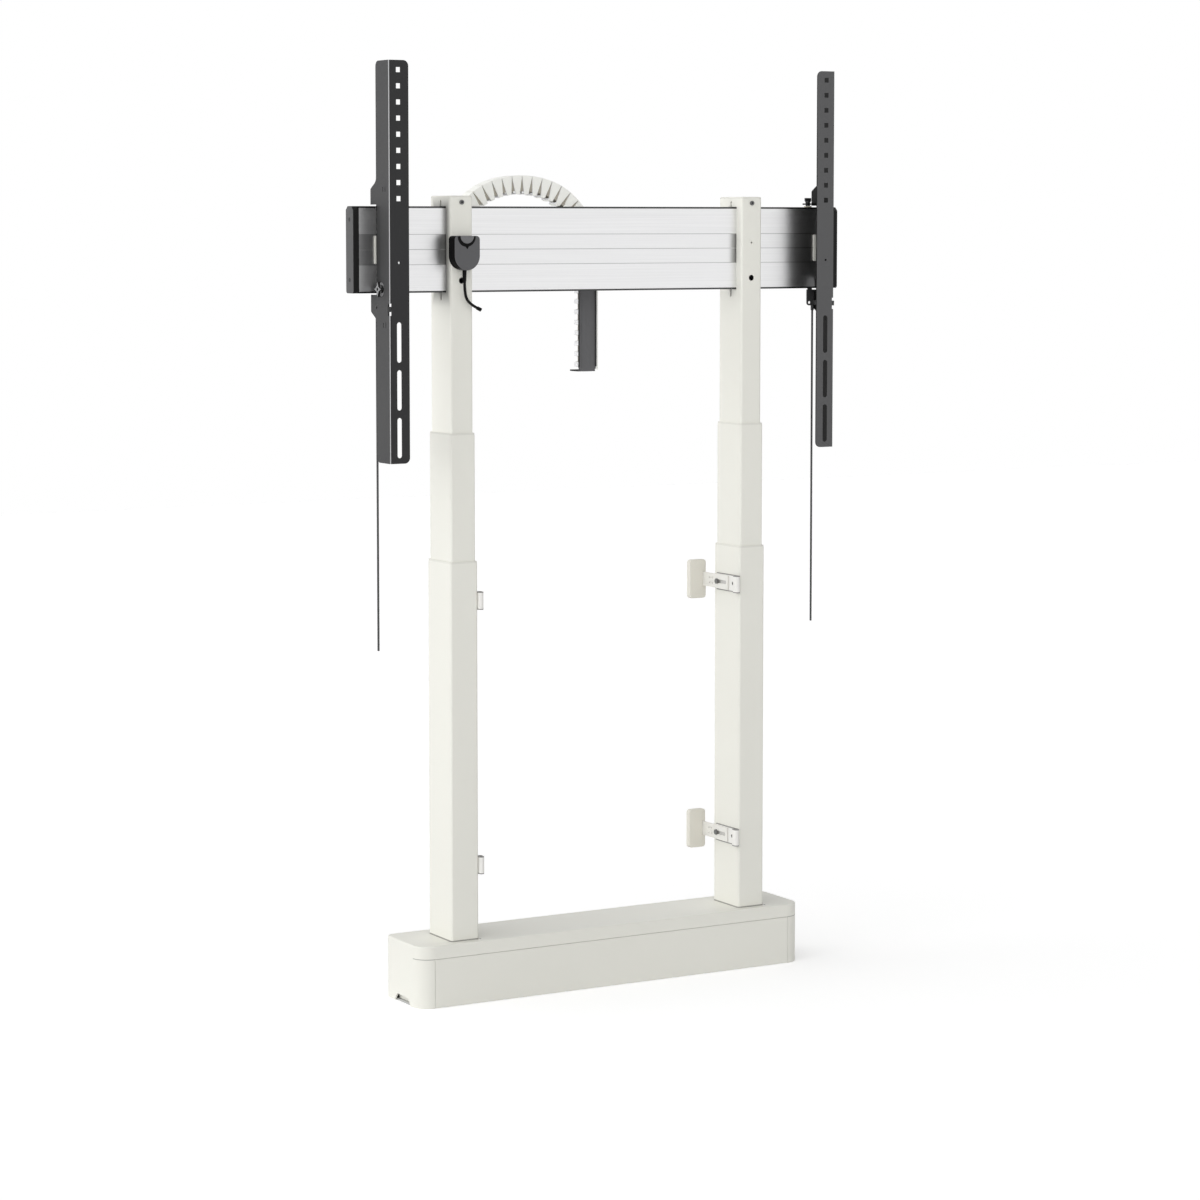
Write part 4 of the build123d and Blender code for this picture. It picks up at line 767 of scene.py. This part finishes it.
# Bar screws and levelling screws: blackened steel. The screws at the end caps, those below the bar
# and the sockets of the upper ones are darker still, with painted shade.
screw_black = neutral_dark("screw_black", 0.16, 0.12, 1800, (0.3, 0.42), 0.3, 0.3)
head_fade, socket_fade = (0.001,) * 3, (0.0004, 0.001, 0.0004)
shade_boxes(
    screw_black,
    [
        *both_hands((0.44, -0.04, 1.1), (0.47, 0.04, 1.3), head_fade, 0.03),
        ((-0.30, -0.034, 1.1), (0.30, 0.04, 1.2), head_fade, 0.03),
        *both_hands((0.2713, -0.04, 1.2879), (0.2747, -0.03, 1.2913), socket_fade, 0.05),
    ],
)
level_black = grained(
    "level_black", (0.03, 0.03, 0.031), (0.02, 0.02, 0.021), 1800, (0.3, 0.4), 0.3, metal=0.3
)
dress(screw_black, "bar_screws")
dress(level_black, *left_and_right("level_screw"))

# Rear screws of the bracket clips: small blackened pan heads near the loops, one per clip. They pin
# the clip plate to the outer tube; the longer screws through the arms are the frame's.
clip_face, pin_place, pin_radius, pin_height, pin_sides = 0.2455, -0.0245, 0.0030, 0.0012, 16


def solid_piece(name, points, sides, finish):
    """Mesh object from numpy points and faces, with its faces turned outwards."""
    mesh = bpy.data.meshes.new(name)
    mesh.from_pydata(points.tolist(), [], sides)
    turned = bmesh.new()
    turned.from_mesh(mesh)
    bmesh.ops.recalc_face_normals(turned, faces=turned.faces)
    turned.to_mesh(mesh)
    turned.free()
    mesh.materials.append(finish)
    return add_object(name, mesh)


def pan_head(name, x, outward, height):
    """Domed disc on a plane of constant X: rings of radius 1, 0.95 and 0.6 of the full one, set 0,
    0.6 and 1 of the head's height above the plane, closed by a flat on both sides."""
    share, lift = np.array([1.0, 0.95, 0.6]), np.array([0.0, 0.6, 1.0])
    turn = np.linspace(0, 2 * math.pi, pin_sides + 1)[:-1]
    xs = x + outward * pin_height * lift[:, None] + 0 * turn[None, :]
    ys = pin_place + pin_radius * share[:, None] * np.cos(turn)[None, :]
    zs = height + pin_radius * share[:, None] * np.sin(turn)[None, :]
    points = np.stack([xs, ys, zs], axis=-1).reshape(-1, 3)
    cell = np.arange(pin_sides)
    ahead = (cell + 1) % pin_sides
    rings = [
        np.stack([cell + r, ahead + r, ahead + r + pin_sides, cell + r + pin_sides], 1)
        for r in (0, pin_sides)
    ]
    flats = [(cell + 2 * pin_sides).tolist(), cell[::-1].tolist()]
    return solid_piece(name, points, np.concatenate(rings).tolist() + flats, level_black)


for hand, side in hands:
    for level, height in bracket_levels:
        pin = pan_head(f"{hand}_{level}_clip_screw", side * clip_face, -side, height)
        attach(pin, "root")

# Pull cords: braided polyester, 3.5 mm, hanging straight from the latches' ferrules. The braid
# shows as fine diagonal bands in the colour, the sheen and the bump.
cord_x, cord_y, cord_top, cord_foot, cord_width = 0.4114, -0.010, 1.109, 0.578, 0.0035
cord_heights = (cord_top, cord_top - 0.021, 0.85, 0.64, cord_foot)
cord_sheath = bpy.data.materials.new("cord_sheath")
cord_sheath.use_nodes = True
sheath = cord_sheath.node_tree
sheath_shader = sheath.nodes["Principled BSDF"]
sheath_shader.inputs["Sheen Weight"].default_value = 0.2
sheath_place = add_node(sheath, "TexCoord")
sheath_wave = add_node(sheath, "TexWave", wave_type="BANDS", bands_direction="DIAGONAL")
sheath_wave.inputs["Scale"].default_value = 260.0
sheath_wave.inputs["Distortion"].default_value = 1.0
sheath_tint = add_node(sheath, "Mix", data_type="RGBA")
sheath_tint.inputs[6].default_value = (0.020, 0.020, 0.021, 1)
sheath_tint.inputs[7].default_value = (0.075, 0.075, 0.077, 1)
sheath_rough = add_node(sheath, "MapRange")
sheath_rough.inputs["To Min"].default_value = 0.5
sheath_rough.inputs["To Max"].default_value = 0.75
sheath_bump = add_node(sheath, "Bump")
sheath_bump.inputs["Strength"].default_value = 0.5
sheath_bump.inputs["Distance"].default_value = 0.0003
join(
    sheath,
    (sheath_place.outputs["Object"], sheath_wave.inputs["Vector"]),
    (sheath_wave.outputs["Fac"], sheath_tint.inputs[0]),
    (sheath_wave.outputs["Fac"], sheath_rough.inputs["Value"]),
    (sheath_wave.outputs["Fac"], sheath_bump.inputs["Height"]),
    (sheath_tint.outputs[2], sheath_shader.inputs["Base Color"]),
    (sheath_rough.outputs["Result"], sheath_shader.inputs["Roughness"]),
    (sheath_bump.outputs["Normal"], sheath_shader.inputs["Normal"]),
)


def cord_curve(name, points, thickness, finish):
    """Round cord along one smooth spline whose control points are the route's points."""
    curve = bpy.data.curves.new(name, "CURVE")
    curve.dimensions = "3D"
    curve.bevel_depth = thickness / 2
    curve.bevel_resolution = 4
    curve.resolution_u = 16
    curve.use_fill_caps = True
    spline = curve.splines.new("NURBS")
    spline.points.add(len(points) - 1)
    for knot, point in zip(spline.points, points):
        knot.co = (*point, 1)
    spline.order_u = 3
    spline.use_endpoint_u = True
    curve.materials.append(finish)
    return add_object(name, curve)


for hand, side in hands:
    cord = cord_curve(
        f"{hand}_release_cord",
        [(side * cord_x, cord_y, z) for z in cord_heights],
        cord_width,
        cord_sheath,
    )
    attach(cord, f"{hand}_release")
    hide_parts(f"{hand}_pull_cord")

# Hand control lead: a short stub of soft black cable, 4.6 mm thick. It leaves the housing through
# its strain relief and ends in its moulded plug.
lead_width = 0.0046
lead_route = [
    (-0.27285, -0.0445, 1.1647),
    (-0.27285, -0.0445, 1.1437),
    (-0.26535, -0.0455, 1.1287),
    (-0.25085, -0.0460, 1.1217),
]
lead_jacket = neutral_dark("lead_jacket", 0.004, 0.003, 1200, (0.34, 0.46), 0.2, 0.12)
lead = cord_curve("hand_lead", lead_route, lead_width, lead_jacket)
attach(lead, "carriage")
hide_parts("handset_cable")

# Cable carrier: off-white nylon links, each link hinged to the next. The tongues are the same
# nylon, darkened with painted shade. It is drawn again here as open rings, so that wedges show
# between them in the arch; the upright runs are drawn again too, and stand still between their
# ends.
carrier_front, carrier_width, carrier_height, carrier_wall = 0.044, 0.026, 0.0304, 0.0026
link_gap, pinch, wedge_top = 0.0003, 0.42, 0.0146
tongue_front, tongue_sheet = 0.0027, 0.0020
tongue_low, tongue_high, tongue_share = -0.0100, 0.0130, 0.38
carrier_nylon = grained(
    "carrier_nylon", (0.92, 0.92, 0.865), (0.94, 0.94, 0.90), 1500, (0.42, 0.55), 0.25
)
# Painted shade: the links' left faces are painted a little darker than their fronts.
paint_light_by_facing(carrier_nylon, 0.86, None, None)
tongue_nylon_painted_shade = grained(
    "tongue_nylon_painted_shade", (0.44, 0.41, 0.35), (0.39, 0.36, 0.30), 1500, (0.5, 0.6), 0.25
)


def placed(x, z, turn, along, outward):
    """X and Z of a point: the link's centre, plus the outward distance along (cos, sin) of the
    turn, plus the distance along the chain on (sin, -cos)."""
    return (
        x + outward * np.cos(turn) + along * np.sin(turn),
        z + outward * np.sin(turn) - along * np.cos(turn),
    )


def carrier_links(name, links, hinges, pitch, swell, rides):
    """Carrier links: each is a square ring of side plates and two bars, with tongues at the hinges.

    links and hinges are (x, z, turn) arrays. Above the wedge's top a point's reach along the chain
    is half the pitch less the gap, times 1 plus swell at the outer bar. From there it falls in a
    straight line to the pinch's share at the inner bar, so the gaps open inwards as wedges. A
    tongue is a flat plate behind the wedge, one at each side plate."""
    half, half_h = (pitch - link_gap) / 2, carrier_height / 2
    back = carrier_front + carrier_width
    ring = np.array(
        [
            (carrier_front, half_h),
            (carrier_front, wedge_top),
            (carrier_front, -half_h),
            (back, -half_h),
            (back, wedge_top),
            (back, half_h),
        ]
    )
    inner = ring + carrier_wall * np.array([(1, -1), (1, 0), (1, 1), (-1, 1), (-1, 0), (-1, -1)])
    section = np.concatenate([ring, inner])
    down = np.clip((wedge_top - section[:, 1]) / (wedge_top + half_h), 0, 1)
    reach = half * (1 + swell * section[:, 1] / half_h) * (1 - down) + half * pinch * down
    x, z, turn = (part[:, None, None] for part in links)
    along = np.array([-1, 1])[None, :, None] * reach[None, None, :]
    xs, zs = placed(x, z, turn, along, section[None, None, :, 1])
    ys = np.broadcast_to(section[:, 0], xs.shape)
    points = np.stack([xs, ys, zs], axis=-1).reshape(-1, 3)
    within, beyond = len(ring), len(section)
    around = np.arange(within)
    ahead = (around + 1) % within
    one = np.concatenate(
        [
            np.stack([around, ahead, ahead + beyond, around + beyond], 1),
            np.stack([around, around + beyond, ahead + beyond, ahead], 1) + within,
            np.stack([around, around + within, ahead + within, ahead], 1),
            np.stack([around, ahead, ahead + within, around + within], 1) + beyond,
        ]
    )
    steps = 2 * beyond * np.arange(len(links[0]))
    run = solid_piece(
        name, points, (one[None] + steps[:, None, None]).reshape(-1, 4).tolist(), carrier_nylon
    )
    outline = ((-1, tongue_low), (1, tongue_low), (1, tongue_high), (-1, tongue_high))
    corners = np.array([(face, way, out) for face in (0, 1) for way, out in outline])
    fronts = (carrier_front + tongue_front, back - tongue_front - tongue_sheet)
    x, z, turn = (part[:, None] for part in hinges)
    xs, zs = placed(x, z, turn, corners[:, 1] * pitch * tongue_share, corners[:, 2])
    pairs = [
        np.stack([xs, np.broadcast_to(front + tongue_sheet * corners[:, 0], xs.shape), zs], -1)
        for front in fronts
    ]
    one = np.array(
        [(0, 1, 2, 3), (4, 7, 6, 5), (0, 4, 5, 1), (1, 5, 6, 2), (2, 6, 7, 3), (3, 7, 4, 0)]
    )
    steps = len(corners) * np.arange(len(fronts) * len(hinges[0]))
    tongues = solid_piece(
        f"{name}_tongues",
        np.stack(pairs).reshape(-1, 3),
        (one[None] + steps[:, None, None]).reshape(-1, 4).tolist(),
        tongue_nylon_painted_shade,
    )
    for piece in (run, tongues):
        rides(piece)
    return run


# The arch behind the bar is two side arcs with a flatter crown arc between them. It is 22 links
# long, by the pitch in the photograph, where the solids have 23. It stands on the two upright runs
# and moves as one, at half the carriage's speed.
carrier_x, carrier_half, spring_z = -0.120, 0.127, 1.205
side_radius, crown_radius, arch_count = 0.1109, 0.160, 22
arch_lean = math.asin((carrier_half - side_radius) / (crown_radius - side_radius))
side_run, crown_run = (math.pi / 2 - arch_lean) * side_radius, 2 * arch_lean * crown_radius
arch_pitch = (2 * side_run + crown_run) / arch_count


def arch_line(run):
    """Place and turn on the arch's mid line, at a distance along it.

    The centres lie on the spring line for the sides and below it for the crown; the turn falls
    from a half circle to zero by run over radius on each arc."""
    first, last = run < side_run, run >= side_run + crown_run
    turn = np.where(
        first,
        math.pi - run / side_radius,
        np.where(
            last,
            math.pi / 2 - arch_lean - (run - side_run - crown_run) / side_radius,
            math.pi / 2 + arch_lean - (run - side_run) / crown_radius,
        ),
    )
    radius = np.where(first | last, side_radius, crown_radius)
    shift = np.where(first, -1.0, np.where(last, 1.0, 0.0)) * (carrier_half - side_radius)
    drop = np.where(first | last, 0, (crown_radius - side_radius) * math.cos(arch_lean))
    return (
        carrier_x + shift + radius * np.cos(turn),
        spring_z - drop + radius * np.sin(turn),
        turn,
    )


def arch_rides(piece):
    """The arch rides on its own body."""
    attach(piece, "carrier_arch")


arch = carrier_links(
    "carrier_bend",
    arch_line((np.arange(arch_count) + 0.5) * arch_pitch),
    arch_line(np.arange(1, arch_count) * arch_pitch),
    arch_pitch,
    carrier_height / 2 / crown_radius,
    arch_rides,
)
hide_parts("chain_arch")

# The upright runs: the fixed one stands on its anchor behind the left column, and the moving one
# hangs from the arch to the cable plate's shelf. Each stretches between its two ends.
fixed_x, moving_x, run_y, carrier_foot, plate_shelf = -0.247, 0.007, 0.057, 0.700, 1.0145
fixed_count, moving_count = 30, 11


def upright(x, low, high, turn, count):
    """Links, hinges and pitch of a straight run, spaced evenly between two heights."""
    step = (high - low) / count
    middles = low + step * (np.arange(count) + 0.5)
    joints = low + step * np.arange(1, count)
    return (
        (np.full(count, x), middles, np.full(count, turn)),
        (np.full(count - 1, x), joints, np.full(count - 1, turn)),
        step,
    )


def fixed_rides(piece):
    """The fixed run's placement is baked into its mesh, from the anchor to the arch."""
    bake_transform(piece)


def moving_rides(piece):
    """The moving run's placement is baked into its mesh, from the arch to the plate."""
    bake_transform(piece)


fixed_links, fixed_hinges, fixed_pitch = upright(
    fixed_x, carrier_foot, spring_z, math.pi, fixed_count
)
fixed_run = carrier_links(
    "carrier_fixed_run", fixed_links, fixed_hinges, fixed_pitch, 0, fixed_rides
)
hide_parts("chain_left_run")
moving_links, moving_hinges, moving_pitch = upright(
    moving_x, plate_shelf, spring_z, 0.0, moving_count
)
moving_run = carrier_links(
    "carrier_moving_run", moving_links, moving_hinges, moving_pitch, 0, moving_rides
)
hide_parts("chain_right_run")
